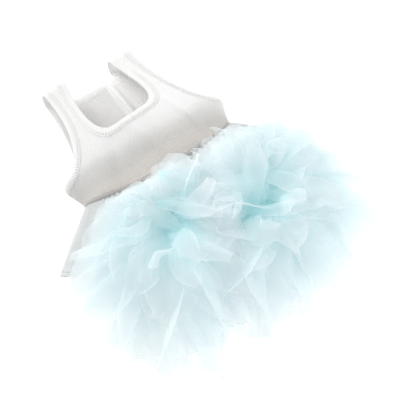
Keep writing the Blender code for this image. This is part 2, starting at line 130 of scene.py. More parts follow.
def foldRise(turn, y):
    front = np.cos(turn) > 0.0
    across = np.sign(np.sin(turn)) * np.abs(np.sin(turn)) ** body["sectionPower"]
    x = halfWidth(y) * across
    along = y / shoulderY
    rise = np.zeros_like(x)
    for fold in vestFolds:
        place = fold["across"] + fold["lean"] * (along - fold["end"])
        offset = (x - place * body["chestWidth"] / 2.0) / (fold["width"] * body["chestWidth"])
        middle = (fold["start"] + fold["end"]) / 2.0
        reach = (fold["start"] - fold["end"]) / 2.0
        fade = np.maximum(1.0 - ((along - middle) / reach) ** 2, 0.0)
        rise += (front == fold["front"]) * fold["rise"] * np.exp(-offset * offset) * fade
    return rise * body["chestHeight"] * np.abs(np.cos(turn))


def strapTilt(turn, x, y):
    # The right strap leans in towards the neck, so its neck side lies lower
    gap, width = body["strapGap"] / 2.0, body["strapWidth"]
    across = eased((gap + width - x) / width) * eased(x / gap)
    along = eased((y - body["sideSeam"]) / body["armholeDepth"])
    return -body["strapTilt"] * across * along * (x > 0.0) * (np.cos(turn) > 0.0)


def vestPoint(turn, y, off=0.0):
    # A point of the body's surface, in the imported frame, and so far off it
    turn, y = np.broadcast_arrays(np.asarray(turn, float), np.asarray(y, float))
    height = sectionHeight(y)
    past = np.maximum(y - rollY, 0.0) / body["shoulderRoll"]
    roll = np.sqrt(np.maximum(1.0 - past * past, 0.0))
    x, z = sectionPoint(halfWidth(y), height, body["sideLevel"] * height, turn, roll)
    z = np.maximum(z, 0.0) + (foldRise(turn, y) + strapTilt(turn, x, y)) * roll
    return np.stack([x + originX, y + originY, z + off], -1)


def turnAt(x, y):
    share = np.clip(np.abs(x) / halfWidth(y), 0.0, 1.0)
    return np.arcsin(share ** (1.0 / body["sectionPower"]))


def waistY(turn):
    dip = np.where(np.cos(turn) > 0.0, body["waistDip"], body["backWaistDip"])
    return -dip * np.abs(np.cos(turn)) ** 1.5


def rollLevels(steps=6):
    angles = np.linspace(0.0, math.pi / 2.0, steps + 1)[1:]
    return rollY + body["shoulderRoll"] * np.sin(angles)


def neckEdge(front, offset, right, steps=160):
    # Half of the neckline as turns and levels, from the middle up to the shoulder's top
    depth = body["frontNeckDepth"] if front else body["backNeckDepth"]
    depth += offset - body["shoulderRoll"]
    strap = body["strapGap"] / 2.0 + offset
    scoop = body["neckRight" if right > 0 else "neckLeft"] + offset if front else strap
    angle = np.linspace(0.0, math.pi / 2.0, steps + 1)
    share = 1.0 - np.cos(angle) ** body["scoopPower"]
    x = mix(scoop, strap, share * share) * np.sin(angle) ** body["scoopPower"]
    y = rollY - depth * (1.0 - share)
    if front:
        y = y + body["neckTilt"] * np.sign(right) * x * (1.0 - share)
    levels = rollLevels()
    x = np.concatenate([x, np.full(len(levels), strap)])
    y = np.concatenate([y, levels])
    return turnAt(x, y), y


def legEdge(offset, steps=120):
    # Half of a leg hole, from the underarm up to the shoulder's top
    strap = body["strapGap"] / 2.0 + body["strapWidth"] - offset
    bottom = body["sideSeam"] - offset
    angle = np.linspace(0.0, math.pi / 2.0, steps + 1)
    y = mix(bottom, rollY, 1.0 - np.cos(angle))
    turn = turnAt(mix(halfWidth(bottom), strap, np.sin(angle)), y)
    levels = rollLevels()
    turn = np.concatenate([turn, turnAt(np.full(len(levels), strap), levels)])
    return turn, np.concatenate([y, levels])


# Mesh helpers

def newMesh(name, points, faces, material=None, smooth=True):
    mesh = bpy.data.meshes.new(name)
    mesh.from_pydata([tuple(point) for point in points], [], faces)
    made = bpy.data.objects.new(name, mesh)
    bpy.context.scene.collection.objects.link(made)
    if material:
        mesh.materials.append(material)
    if smooth:
        mesh.shade_smooth()
    return made


def addFloats(made, name, values):
    layer = made.data.attributes.new(name, "FLOAT", "POINT")
    layer.data.foreach_set("value", np.asarray(values, np.float32))


def addUv(made, u, v):
    # A cloth map in metres, from values held at the points
    layer = made.data.uv_layers.new(name="clothMap")
    corners = np.empty(len(made.data.loops), np.int32)
    made.data.loops.foreach_get("vertex_index", corners)
    layer.data.foreach_set("uv", np.stack([u[corners], v[corners]], -1).ravel().astype(np.float32))


def mergeClose(made, distance=2e-5):
    work = bmesh.new()
    work.from_mesh(made.data)
    bmesh.ops.remove_doubles(work, verts=work.verts, dist=distance)
    loose = [vert for vert in work.verts if not vert.link_faces]
    bmesh.ops.delete(work, geom=loose, context="VERTS")
    work.to_mesh(made.data)
    work.free()


def faceOut(made, probe):
    # The face nearest to a point outside has to look at it
    work = bmesh.new()
    work.from_mesh(made.data)
    bmesh.ops.recalc_face_normals(work, faces=work.faces)
    probe = Vector(probe)
    nearest = min(work.faces, key=lambda face: (face.calc_center_median() - probe).length)
    if nearest.normal.dot(probe - nearest.calc_center_median()) < 0.0:
        bmesh.ops.reverse_faces(work, faces=work.faces)
    work.to_mesh(made.data)
    work.free()
    made.data.shade_smooth()


def flatten(made):
    # What the modifiers make becomes the plain mesh
    bpy.context.view_layer.update()
    graph = bpy.context.evaluated_depsgraph_get()
    mesh = bpy.data.meshes.new_from_object(made.evaluated_get(graph), depsgraph=graph)
    if made.type == "MESH":
        made.modifiers.clear()
        made.data = mesh
        return made
    name = made.name
    bpy.data.objects.remove(made, do_unlink=True)
    plain = bpy.data.objects.new(name, mesh)
    bpy.context.scene.collection.objects.link(plain)
    return plain


def thicken(made, wall):
    solid = made.modifiers.new("wall", "SOLIDIFY")
    solid.thickness = wall
    solid.offset = -1.0
    solid.use_quality_normals = True
    return flatten(made)


def applyTree(made, tree, values):
    modifier = made.modifiers.new(tree.name, "NODES")
    modifier.node_group = tree
    for item in tree.interface.items_tree:
        if item.item_type == "SOCKET" and item.in_out == "INPUT" and item.name in values:
            modifier[item.identifier] = values[item.name]
    return flatten(made)


# Node helpers

class Tree:
    def __init__(self, name, kind):
        self.tree = bpy.data.node_groups.new(name, kind)

    def socket(self, name, way, kind, default=None):
        made = self.tree.interface.new_socket(name=name, in_out=way, socket_type=kind)
        if default is not None:
            made.default_value = default
        return made

    def node(self, kind, **settings):
        made = self.tree.nodes.new(kind)
        for key, value in settings.items():
            setattr(made, key, value)
        return made

    def link(self, source, target):
        self.tree.links.new(source, target)

    def math(self, operation, first, second=None, third=None):
        made = self.node("ShaderNodeMath", operation=operation)
        for index, value in enumerate((first, second, third)):
            if value is None:
                continue
            if isinstance(value, (int, float)):
                made.inputs[index].default_value = value
            else:
                self.link(value, made.inputs[index])
        return made.outputs[0]


def materialTree(name):
    material = bpy.data.materials.get(name + "Look") or bpy.data.materials.new(name + "Look")
    material.use_nodes = True
    material.node_tree.nodes.clear()
    tree = Tree.__new__(Tree)
    tree.tree = material.node_tree
    return material, tree


# Geometry Nodes: ribs that stand up along a cloth, from the attribute ribAlong

def ribTree():
    tree = Tree("knitRibs", "GeometryNodeTree")
    tree.socket("Geometry", "OUTPUT", "NodeSocketGeometry")
    tree.socket("Geometry", "INPUT", "NodeSocketGeometry")
    tree.socket("Rib Pitch", "INPUT", "NodeSocketFloat", 0.002)
    tree.socket("Rib Height", "INPUT", "NodeSocketFloat", 0.0003)
    tree.socket("Unevenness", "INPUT", "NodeSocketFloat", 0.0003)
    tree.socket("Cloth", "INPUT", "NodeSocketMaterial")
    start = tree.node("NodeGroupInput")
    end = tree.node("NodeGroupOutput")
    along = tree.node("GeometryNodeInputNamedAttribute", data_type="FLOAT")
    along.inputs["Name"].default_value = "ribAlong"
    turns = tree.math("DIVIDE", along.outputs["Attribute"], start.outputs["Rib Pitch"])
    wave = tree.math("COSINE", tree.math("MULTIPLY", turns, 2.0 * math.pi))
    rise = tree.math("MULTIPLY", wave, tree.math("MULTIPLY", start.outputs["Rib Height"], 0.5))
    noise = tree.node("ShaderNodeTexNoise", noise_dimensions="3D")
    noise.inputs["Scale"].default_value = 42.0
    noise.inputs["Detail"].default_value = 2.0
    uneven = tree.math("MULTIPLY", tree.math("SUBTRACT", noise.outputs[0], 0.5), start.outputs["Unevenness"])
    normal = tree.node("GeometryNodeInputNormal")
    scale = tree.node("ShaderNodeVectorMath", operation="SCALE")
    tree.link(normal.outputs[0], scale.inputs[0])
    tree.link(tree.math("ADD", rise, uneven), scale.inputs["Scale"])
    move = tree.node("GeometryNodeSetPosition")
    tree.link(start.outputs["Geometry"], move.inputs["Geometry"])
    tree.link(scale.outputs[0], move.inputs["Offset"])
    real = tree.node("GeometryNodeRealizeInstances")
    tree.link(move.outputs[0], real.inputs[0])
    paint = tree.node("GeometryNodeSetMaterial")
    tree.link(real.outputs[0], paint.inputs["Geometry"])
    tree.link(start.outputs["Cloth"], paint.inputs["Material"])
    tree.link(paint.outputs[0], end.inputs[0])
    return tree.tree


# Geometry Nodes: a row of stitches along a curve

def stitchTree():
    tree = Tree("stitchRow", "GeometryNodeTree")
    tree.socket("Geometry", "OUTPUT", "NodeSocketGeometry")
    tree.socket("Geometry", "INPUT", "NodeSocketGeometry")
    tree.socket("Stitch Pitch", "INPUT", "NodeSocketFloat", 0.0028)
    tree.socket("Stitch Length", "INPUT", "NodeSocketFloat", 0.0022)
    tree.socket("Thread", "INPUT", "NodeSocketFloat", 0.0005)
    tree.socket("Cloth", "INPUT", "NodeSocketMaterial")
    start = tree.node("NodeGroupInput")
    end = tree.node("NodeGroupOutput")
    even = tree.node("GeometryNodeResampleCurve", mode="LENGTH")
    tree.link(start.outputs["Geometry"], even.inputs["Curve"])
    tree.link(start.outputs["Stitch Pitch"], even.inputs["Length"])
    stitch = tree.node("GeometryNodeMeshUVSphere")
    stitch.inputs["Segments"].default_value = 6
    stitch.inputs["Rings"].default_value = 5
    stitch.inputs["Radius"].default_value = 0.5
    turned = tree.node("GeometryNodeTransform")
    turned.inputs["Rotation"].default_value = (0.0, math.pi / 2.0, 0.0)
    tree.link(stitch.outputs["Mesh"], turned.inputs["Geometry"])
    size = tree.node("ShaderNodeCombineXYZ")
    tree.link(start.outputs["Stitch Length"], size.inputs["X"])
    tree.link(start.outputs["Thread"], size.inputs["Y"])
    tree.link(start.outputs["Thread"], size.inputs["Z"])
    shaped = tree.node("GeometryNodeTransform")
    tree.link(turned.outputs[0], shaped.inputs["Geometry"])
    tree.link(size.outputs[0], shaped.inputs["Scale"])
    tangent = tree.node("GeometryNodeInputTangent")
    aim = tree.node("FunctionNodeAlignRotationToVector", axis="X")
    tree.link(tangent.outputs[0], aim.inputs["Vector"])
    spread = tree.node("GeometryNodeInstanceOnPoints")
    tree.link(even.outputs[0], spread.inputs["Points"])
    tree.link(shaped.outputs[0], spread.inputs["Instance"])
    tree.link(aim.outputs[0], spread.inputs["Rotation"])
    real = tree.node("GeometryNodeRealizeInstances")
    tree.link(spread.outputs[0], real.inputs[0])
    smooth = tree.node("GeometryNodeSetShadeSmooth")
    tree.link(real.outputs[0], smooth.inputs["Geometry"])
    paint = tree.node("GeometryNodeSetMaterial")
    tree.link(smooth.outputs[0], paint.inputs["Geometry"])
    tree.link(start.outputs["Cloth"], paint.inputs["Material"])
    tree.link(paint.outputs[0], end.inputs[0])
    return tree.tree


# Geometry Nodes: strips of tulle along guide curves. A guide's radius is the strip's width
# and its tilt the way the strip turns. Each strip is pleated along its length and ruffled.

def stripTree():
    tree = Tree("tulleStrips", "GeometryNodeTree")
    tree.socket("Geometry", "OUTPUT", "NodeSocketGeometry")
    tree.socket("Geometry", "INPUT", "NodeSocketGeometry")
    tree.socket("Cells Across", "INPUT", "NodeSocketInt", 8)
    tree.socket("Pleats", "INPUT", "NodeSocketFloat", 1.5)
    tree.socket("Pleat Depth", "INPUT", "NodeSocketFloat", 0.16)
    tree.socket("Ruffle", "INPUT", "NodeSocketFloat", 0.006)
    tree.socket("Ruffle Size", "INPUT", "NodeSocketFloat", 0.030)
    tree.socket("Seed", "INPUT", "NodeSocketFloat", 1.0)
    tree.socket("Cloth", "INPUT", "NodeSocketMaterial")
    start = tree.node("NodeGroupInput")
    end = tree.node("NodeGroupOutput")

    line = tree.node("GeometryNodeCurvePrimitiveLine")
    line.inputs["Start"].default_value = (-0.5, 0.0, 0.0)
    line.inputs["End"].default_value = (0.5, 0.0, 0.0)
    cells = tree.node("GeometryNodeResampleCurve", mode="COUNT")
    tree.link(line.outputs[0], cells.inputs["Curve"])
    tree.link(tree.math("ADD", start.outputs["Cells Across"], 1.0), cells.inputs["Count"])
    parameter = tree.node("GeometryNodeSplineParameter")
    acrossStore = tree.node("GeometryNodeStoreNamedAttribute", data_type="FLOAT", domain="POINT")
    acrossStore.inputs["Name"].default_value = "across"
    tree.link(cells.outputs[0], acrossStore.inputs["Geometry"])
    tree.link(parameter.outputs["Factor"], acrossStore.inputs["Value"])
    turns = tree.math("MULTIPLY", parameter.outputs["Factor"], start.outputs["Pleats"])
    wave = tree.math("COSINE", tree.math("MULTIPLY", turns, 2.0 * math.pi))
    fold = tree.node("ShaderNodeCombineXYZ")
    tree.link(tree.math("MULTIPLY", wave, start.outputs["Pleat Depth"]), fold.inputs["Y"])
    pleated = tree.node("GeometryNodeSetPosition")
    tree.link(acrossStore.outputs[0], pleated.inputs["Geometry"])
    tree.link(fold.outputs[0], pleated.inputs["Offset"])

    guide = tree.node("GeometryNodeSplineParameter")
    alongStore = tree.node("GeometryNodeStoreNamedAttribute", data_type="FLOAT", domain="POINT")
    alongStore.inputs["Name"].default_value = "along"
    tree.link(start.outputs["Geometry"], alongStore.inputs["Geometry"])
    tree.link(guide.outputs["Factor"], alongStore.inputs["Value"])
    upright = tree.node("GeometryNodeSetCurveNormal", mode="Z_UP")
    tree.link(alongStore.outputs[0], upright.inputs["Curve"])
    radius = tree.node("GeometryNodeInputRadius")
    swept = tree.node("GeometryNodeCurveToMesh")
    tree.link(upright.outputs[0], swept.inputs["Curve"])
    tree.link(pleated.outputs[0], swept.inputs["Profile Curve"])
    if "Scale" in swept.inputs:
        tree.link(radius.outputs[0], swept.inputs["Scale"])

    alongRead = tree.node("GeometryNodeInputNamedAttribute", data_type="FLOAT")
    alongRead.inputs["Name"].default_value = "along"
    noise = tree.node("ShaderNodeTexNoise", noise_dimensions="4D")
    tree.link(tree.math("DIVIDE", 1.0, start.outputs["Ruffle Size"]), noise.inputs["Scale"])
    tree.link(start.outputs["Seed"], noise.inputs["W"])
    noise.inputs["Detail"].default_value = 1.5
    centred = tree.node("ShaderNodeVectorMath", operation="SUBTRACT")
    centred.inputs[1].default_value = (0.5, 0.5, 0.5)
    tree.link(noise.outputs["Color"], centred.inputs[0])
    strength = tree.math("MULTIPLY", alongRead.outputs["Attribute"], start.outputs["Ruffle"])
    moved = tree.node("ShaderNodeVectorMath", operation="SCALE")
    tree.link(centred.outputs[0], moved.inputs[0])
    tree.link(tree.math("MULTIPLY", strength, 2.0), moved.inputs["Scale"])
    ruffled = tree.node("GeometryNodeSetPosition")
    tree.link(swept.outputs[0], ruffled.inputs["Geometry"])
    tree.link(moved.outputs[0], ruffled.inputs["Offset"])
    real = tree.node("GeometryNodeRealizeInstances")
    tree.link(ruffled.outputs[0], real.inputs[0])
    smooth = tree.node("GeometryNodeSetShadeSmooth")
    tree.link(real.outputs[0], smooth.inputs["Geometry"])
    paint = tree.node("GeometryNodeSetMaterial")
    tree.link(smooth.outputs[0], paint.inputs["Geometry"])
    tree.link(start.outputs["Cloth"], paint.inputs["Material"])
    tree.link(paint.outputs[0], end.inputs[0])
    return tree.tree


# Shader groups

def knitGroup():
    # Loops of yarn up the ribs: gives the height of the knit and a mask for the painted shade in its valleys
    tree = Tree("knitLoops", "ShaderNodeTree")
    tree.socket("Cloth Map", "INPUT", "NodeSocketVector")
    tree.socket("Rib Pitch", "INPUT", "NodeSocketFloat", 0.002)
    tree.socket("Loop Pitch", "INPUT", "NodeSocketFloat", 0.0012)
    tree.socket("Height", "OUTPUT", "NodeSocketFloat")
    tree.socket("Valley", "OUTPUT", "NodeSocketFloat")
    start = tree.node("NodeGroupInput")
    end = tree.node("NodeGroupOutput")
    split = tree.node("ShaderNodeSeparateXYZ")
    tree.link(start.outputs["Cloth Map"], split.inputs[0])
    turns = tree.math("DIVIDE", split.outputs["X"], start.outputs["Rib Pitch"])
    rib = tree.math("COSINE", tree.math("MULTIPLY", turns, 2.0 * math.pi))
    lean = tree.math("MULTIPLY", tree.math("ABSOLUTE", rib), 0.35)
    rows = tree.math("ADD", tree.math("DIVIDE", split.outputs["Y"], start.outputs["Loop Pitch"]), lean)
    loop = tree.math("SINE", tree.math("MULTIPLY", rows, 2.0 * math.pi))
    fuzz = tree.node("ShaderNodeTexNoise", noise_dimensions="3D")
    fuzz.inputs["Scale"].default_value = 2600.0
    fuzz.inputs["Detail"].default_value = 3.0
    tree.link(start.outputs["Cloth Map"], fuzz.inputs["Vector"])
    height = tree.math("ADD", tree.math("MULTIPLY", rib, 0.5), tree.math("MULTIPLY", loop, 0.22))
    tree.link(tree.math("ADD", height, tree.math("MULTIPLY", fuzz.outputs[0], 0.35)), end.inputs["Height"])
    valley = tree.math("MULTIPLY", tree.math("SUBTRACT", 1.0, rib), 0.5)
    tree.link(tree.math("POWER", valley, 2.0), end.inputs["Valley"])
    return tree.tree


def netGroup():
    # Hexagon net of tulle: 1 on the threads, 0 in the holes
    tree = Tree("tulleNet", "ShaderNodeTree")
    tree.socket("Vector", "INPUT", "NodeSocketVector")
    tree.socket("Hole Size", "INPUT", "NodeSocketFloat", 0.0012)
    tree.socket("Thread", "OUTPUT", "NodeSocketFloat")
    start = tree.node("NodeGroupInput")
    end = tree.node("NodeGroupOutput")
    cells = tree.node("ShaderNodeTexVoronoi", voronoi_dimensions="3D", feature="DISTANCE_TO_EDGE")
    cells.inputs["Randomness"].default_value = 0.35
    tree.link(start.outputs["Vector"], cells.inputs["Vector"])
    tree.link(tree.math("DIVIDE", 1.0, start.outputs["Hole Size"]), cells.inputs["Scale"])
    near = tree.math("MULTIPLY", cells.outputs["Distance"], -9.0)
    tree.link(tree.math("EXPONENT", near), end.inputs["Thread"])
    return tree.tree


def mottleGroup():
    # Slow change of shade over a cloth, between two colours
    tree = Tree("clothMottle", "ShaderNodeTree")
    tree.socket("Vector", "INPUT", "NodeSocketVector")
    tree.socket("Size", "INPUT", "NodeSocketFloat", 0.03)
    tree.socket("Light", "INPUT", "NodeSocketColor")
    tree.socket("Dark", "INPUT", "NodeSocketColor")
    tree.socket("Colour", "OUTPUT", "NodeSocketColor")
    start = tree.node("NodeGroupInput")
    end = tree.node("NodeGroupOutput")
    noise = tree.node("ShaderNodeTexNoise", noise_dimensions="3D")
    noise.inputs["Detail"].default_value = 3.0
    tree.link(start.outputs["Vector"], noise.inputs["Vector"])
    tree.link(tree.math("DIVIDE", 1.0, start.outputs["Size"]), noise.inputs["Scale"])
    blend = tree.node("ShaderNodeMix", data_type="RGBA")
    tree.link(noise.outputs[0], blend.inputs[0])
    tree.link(start.outputs["Light"], blend.inputs[6])
    tree.link(start.outputs["Dark"], blend.inputs[7])
    tree.link(blend.outputs[2], end.inputs["Colour"])
    return tree.tree


groups = {"knit": knitGroup(), "net": netGroup(), "mottle": mottleGroup()}


def placeGroup(tree, name, **values):
    made = tree.node("ShaderNodeGroup")
    made.node_tree = groups[name]
    for key, value in values.items():
        made.inputs[key].default_value = value
    return made


# Materials

knitLooks = {
    "ribKnit": {
        "light": (0.955, 0.955, 0.965, 1.0), "dark": (0.925, 0.92, 0.92, 1.0), "valley": 0.80,
        # Painted shade: the low colour is multiplied into the knit towards the hem, where the vest slopes down
        # to the skirt
        "low": (0.74, 0.695, 0.65, 1.0), "hemShadeFrom": 0.040, "hemShadeTo": -0.012, "hemShadeShare": 0.90,
        "ribPitch": 0.0019, "loopPitch": 0.0013, "roughness": 0.93, "bump": 0.00035, "sheen": 0.15,
    },
    "bindingKnit": {
        "low": (1.0, 1.0, 1.0, 1.0), "hemShadeFrom": 0.050, "hemShadeTo": -0.012, "hemShadeShare": 0.0,
        "light": (0.93, 0.93, 0.925, 1.0), "dark": (0.89, 0.885, 0.88, 1.0), "valley": 0.55,
        "ribPitch": 0.0021, "loopPitch": 0.0014, "roughness": 0.90, "bump": 0.00025, "sheen": 0.15,
    },
}


def knitMaterial(name):
    look = knitLooks[name]
    material, tree = materialTree(name)
    out = tree.node("ShaderNodeOutputMaterial")
    shader = tree.node("ShaderNodeBsdfPrincipled")
    shader.inputs["Roughness"].default_value = look["roughness"]
    shader.inputs["Sheen Weight"].default_value = look["sheen"]
    shader.inputs["Sheen Roughness"].default_value = 0.6
    shader.inputs["Specular IOR Level"].default_value = 0.25
    tree.link(shader.outputs[0], out.inputs["Surface"])
    clothMap = tree.node("ShaderNodeUVMap", uv_map="clothMap")
    coords = tree.node("ShaderNodeTexCoord")
    knit = placeGroup(tree, "knit", **{"Rib Pitch": look["ribPitch"], "Loop Pitch": look["loopPitch"]})
    tree.link(clothMap.outputs[0], knit.inputs["Cloth Map"])
    mottle = placeGroup(tree, "mottle", Size=0.035, Light=look["light"], Dark=look["dark"])
    tree.link(coords.outputs["Object"], mottle.inputs["Vector"])
    # Painted shade: grey multiplied into the rib valleys
    shade = tree.node("ShaderNodeMix", data_type="RGBA", blend_type="MULTIPLY")
    shade.inputs[7].default_value = (0.80, 0.79, 0.77, 1.0)
    tree.link(tree.math("MULTIPLY", knit.outputs["Valley"], look["valley"]), shade.inputs[0])
    tree.link(mottle.outputs["Colour"], shade.inputs[6])
    split = tree.node("ShaderNodeSeparateXYZ")
    tree.link(clothMap.outputs[0], split.inputs[0])
    # Painted shade: warm grey multiplied into the knit lower down the cloth map, towards the hem
    low = tree.node("ShaderNodeMapRange", interpolation_type="SMOOTHSTEP")
    for socket, value in (("From Min", "hemShadeFrom"), ("From Max", "hemShadeTo"), ("To Max", "hemShadeShare")):
        low.inputs[socket].default_value = look[value]
    tree.link(split.outputs["Y"], low.inputs["Value"])
    paintedHemShade = tree.node("ShaderNodeMix", data_type="RGBA", blend_type="MULTIPLY")
    paintedHemShade.inputs[7].default_value = look["low"]
    tree.link(low.outputs["Result"], paintedHemShade.inputs[0])
    tree.link(shade.outputs[2], paintedHemShade.inputs[6])
    tree.link(paintedHemShade.outputs[2], shader.inputs["Base Color"])
    bump = tree.node("ShaderNodeBump")
    bump.inputs["Distance"].default_value = look["bump"]
    bump.inputs["Strength"].default_value = 0.8
    tree.link(knit.outputs["Height"], bump.inputs["Height"])
    tree.link(bump.outputs[0], shader.inputs["Normal"])
    return material


threadLook = {"colour": (0.80, 0.80, 0.79, 1.0), "roughness": 0.55}


def threadMaterial():
    material, tree = materialTree("stitchThread")
    out = tree.node("ShaderNodeOutputMaterial")
    shader = tree.node("ShaderNodeBsdfPrincipled")
    shader.inputs["Roughness"].default_value = threadLook["roughness"]
    shader.inputs["Base Color"].default_value = threadLook["colour"]
    tree.link(shader.outputs[0], out.inputs["Surface"])
    coords = tree.node("ShaderNodeTexCoord")
    twist = tree.node("ShaderNodeTexWave", wave_type="BANDS", bands_direction="DIAGONAL")
    twist.inputs["Scale"].default_value = 900.0
    tree.link(coords.outputs["Object"], twist.inputs["Vector"])
    bump = tree.node("ShaderNodeBump")
    bump.inputs["Distance"].default_value = 0.0001
    tree.link(twist.outputs[1], bump.inputs["Height"])
    tree.link(bump.outputs[0], shader.inputs["Normal"])
    return material


skirtLook = {
    "light": (0.93, 0.935, 0.935, 1.0), "dark": (0.88, 0.90, 0.90, 1.0),
    "roughness": 0.62, "alpha": 0.93, "weave": 0.00055, "glow": 0.35,
}


def skirtMaterial():
    material, tree = materialTree("underskirtCloth")
    out = tree.node("ShaderNodeOutputMaterial")
    shader = tree.node("ShaderNodeBsdfPrincipled")
    shader.inputs["Roughness"].default_value = skirtLook["roughness"]
    shader.inputs["Sheen Weight"].default_value = 0.2
    shader.inputs["Specular IOR Level"].default_value = 0.3
    coords = tree.node("ShaderNodeTexCoord")
    clothMap = tree.node("ShaderNodeUVMap", uv_map="clothMap")
    mottle = placeGroup(tree, "mottle", Size=0.04, Light=skirtLook["light"], Dark=skirtLook["dark"])
    tree.link(coords.outputs["Object"], mottle.inputs["Vector"])
    tree.link(mottle.outputs["Colour"], shader.inputs["Base Color"])
    split = tree.node("ShaderNodeSeparateXYZ")
    tree.link(clothMap.outputs[0], split.inputs[0])
    threads = []
    for axis in ("X", "Y"):
        turns = tree.math("MULTIPLY", split.outputs[axis], 2.0 * math.pi / skirtLook["weave"])
        threads.append(tree.math("SINE", turns))
    bump = tree.node("ShaderNodeBump")
    bump.inputs["Distance"].default_value = 0.00012
    bump.inputs["Strength"].default_value = 0.6
    tree.link(tree.math("MULTIPLY", threads[0], threads[1]), bump.inputs["Height"])
    tree.link(bump.outputs[0], shader.inputs["Normal"])
    glow = tree.node("ShaderNodeBsdfTranslucent")
    tree.link(mottle.outputs["Colour"], glow.inputs["Color"])
    lit = tree.node("ShaderNodeMixShader")
    lit.inputs[0].default_value = skirtLook["glow"]
    tree.link(shader.outputs[0], lit.inputs[1])
    tree.link(glow.outputs[0], lit.inputs[2])
    clear = tree.node("ShaderNodeBsdfTransparent")
    sheer = tree.node("ShaderNodeMixShader")
    sheer.inputs[0].default_value = skirtLook["alpha"]
    tree.link(clear.outputs[0], sheer.inputs[1])
    tree.link(lit.outputs[0], sheer.inputs[2])
    tree.link(sheer.outputs[0], out.inputs["Surface"])
    return material


tulleLook = {
    "tip": (0.885, 0.915, 0.925, 1.0), "root": (0.56, 0.83, 0.85, 1.0),
    "light": (0.92, 0.953, 0.965, 1.0), "dark": (0.815, 0.905, 0.925, 1.0),
    "alpha": 0.45, "edgeAlpha": 0.06, "netAlpha": 0.06, "tipFade": 0.24, "rimLight": 0.30,
    # inner is the strength of a painted glow: the tulle gives off its own colour as light
    "glow": 0.50, "inner": 0.235, "roughness": 0.80, "hole": 0.0013,
}


def tulleMaterial():
    material, tree = materialTree("tulle")
    out = tree.node("ShaderNodeOutputMaterial")
    shader = tree.node("ShaderNodeBsdfPrincipled")
    shader.inputs["Roughness"].default_value = tulleLook["roughness"]
    shader.inputs["Sheen Weight"].default_value = 0.25
    shader.inputs["Specular IOR Level"].default_value = 0.2
    coords = tree.node("ShaderNodeTexCoord")
    mottle = placeGroup(tree, "mottle", Size=0.02, Light=tulleLook["light"], Dark=tulleLook["dark"])
    tree.link(coords.outputs["Object"], mottle.inputs["Vector"])
    along = tree.node("ShaderNodeAttribute", attribute_name="along")
    across = tree.node("ShaderNodeAttribute", attribute_name="across")
    net = placeGroup(tree, "net", **{"Hole Size": tulleLook["hole"]})
    tree.link(coords.outputs["Object"], net.inputs["Vector"])
    deep = tree.node("ShaderNodeMix", data_type="RGBA")
    rootShare = tree.math("POWER", tree.math("SUBTRACT", 1.0, along.outputs["Fac"]), 2.2)
    tree.link(tree.math("MINIMUM", tree.math("MULTIPLY", rootShare, 1.3), 1.0), deep.inputs[0])
    tree.link(mottle.outputs["Colour"], deep.inputs[6])
    deep.inputs[7].default_value = tulleLook["root"]
    bright = tree.node("ShaderNodeMix", data_type="RGBA")
    # Painted highlight on the strips' rims, lightened towards the tip colour; the strips also turn paler
    # towards their ends
    edge = tree.math("ABSOLUTE", tree.math("SUBTRACT", tree.math("MULTIPLY", across.outputs["Fac"], 2.0), 1.0))
    rim = tree.math("POWER", edge, 6.0)
    tip = tree.math("POWER", along.outputs["Fac"], 5.0)
    pale = tree.math("MINIMUM", tree.math("ADD", tree.math("MULTIPLY", rim, tulleLook["rimLight"]), tree.math("MULTIPLY", tip, 0.6)), 1.0)
    tree.link(pale, bright.inputs[0])
    tree.link(deep.outputs[2], bright.inputs[6])
    bright.inputs[7].default_value = tulleLook["tip"]
    tree.link(bright.outputs[2], shader.inputs["Base Color"])
    # Painted glow: the tulle's colour is also emitted, so it shines though it is no lamp
    tree.link(bright.outputs[2], shader.inputs["Emission Color"])
    shader.inputs["Emission Strength"].default_value = tulleLook["inner"]
    bump = tree.node("ShaderNodeBump")
    bump.inputs["Distance"].default_value = 0.0002
    bump.inputs["Strength"].default_value = 0.5
    tree.link(net.outputs["Thread"], bump.inputs["Height"])
    tree.link(bump.outputs[0], shader.inputs["Normal"])
    glow = tree.node("ShaderNodeBsdfTranslucent")
    tree.link(bright.outputs[2], glow.inputs["Color"])
    lit = tree.node("ShaderNodeMixShader")
    lit.inputs[0].default_value = tulleLook["glow"]
    tree.link(shader.outputs[0], lit.inputs[1])
    tree.link(glow.outputs[0], lit.inputs[2])
    clear = tree.node("ShaderNodeBsdfTransparent")
    sheer = tree.node("ShaderNodeMixShader")
    cover = tree.math("ADD", tulleLook["alpha"], tree.math("MULTIPLY", rim, tulleLook["edgeAlpha"]))
    cover = tree.math("ADD", cover, tree.math("MULTIPLY", net.outputs["Thread"], tulleLook["netAlpha"]))
    fade = tree.math("MULTIPLY", tree.math("POWER", along.outputs["Fac"], 3.0), tulleLook["tipFade"])
    cover = tree.math("MULTIPLY", cover, tree.math("SUBTRACT", 1.0, fade))
    tree.link(tree.math("MINIMUM", cover, 1.0), sheer.inputs[0])
    tree.link(clear.outputs[0], sheer.inputs[1])
    tree.link(lit.outputs[0], sheer.inputs[2])
    tree.link(sheer.outputs[0], out.inputs["Surface"])
    return material


stageLook = {"colour": (0.985, 0.985, 0.985, 1.0), "roughness": 0.6, "size": 6.0, "glow": 0.26}


def paperMaterial():
    material, tree = materialTree("studioPaper")
    out = tree.node("ShaderNodeOutputMaterial")
    shader = tree.node("ShaderNodeBsdfPrincipled")
    shader.inputs["Base Color"].default_value = stageLook["colour"]
    shader.inputs["Roughness"].default_value = stageLook["roughness"]
    shader.inputs["Specular IOR Level"].default_value = 0.1
    shader.inputs["Emission Color"].default_value = stageLook["colour"]
    shader.inputs["Emission Strength"].default_value = stageLook["glow"]
    tree.link(shader.outputs[0], out.inputs["Surface"])
    return material


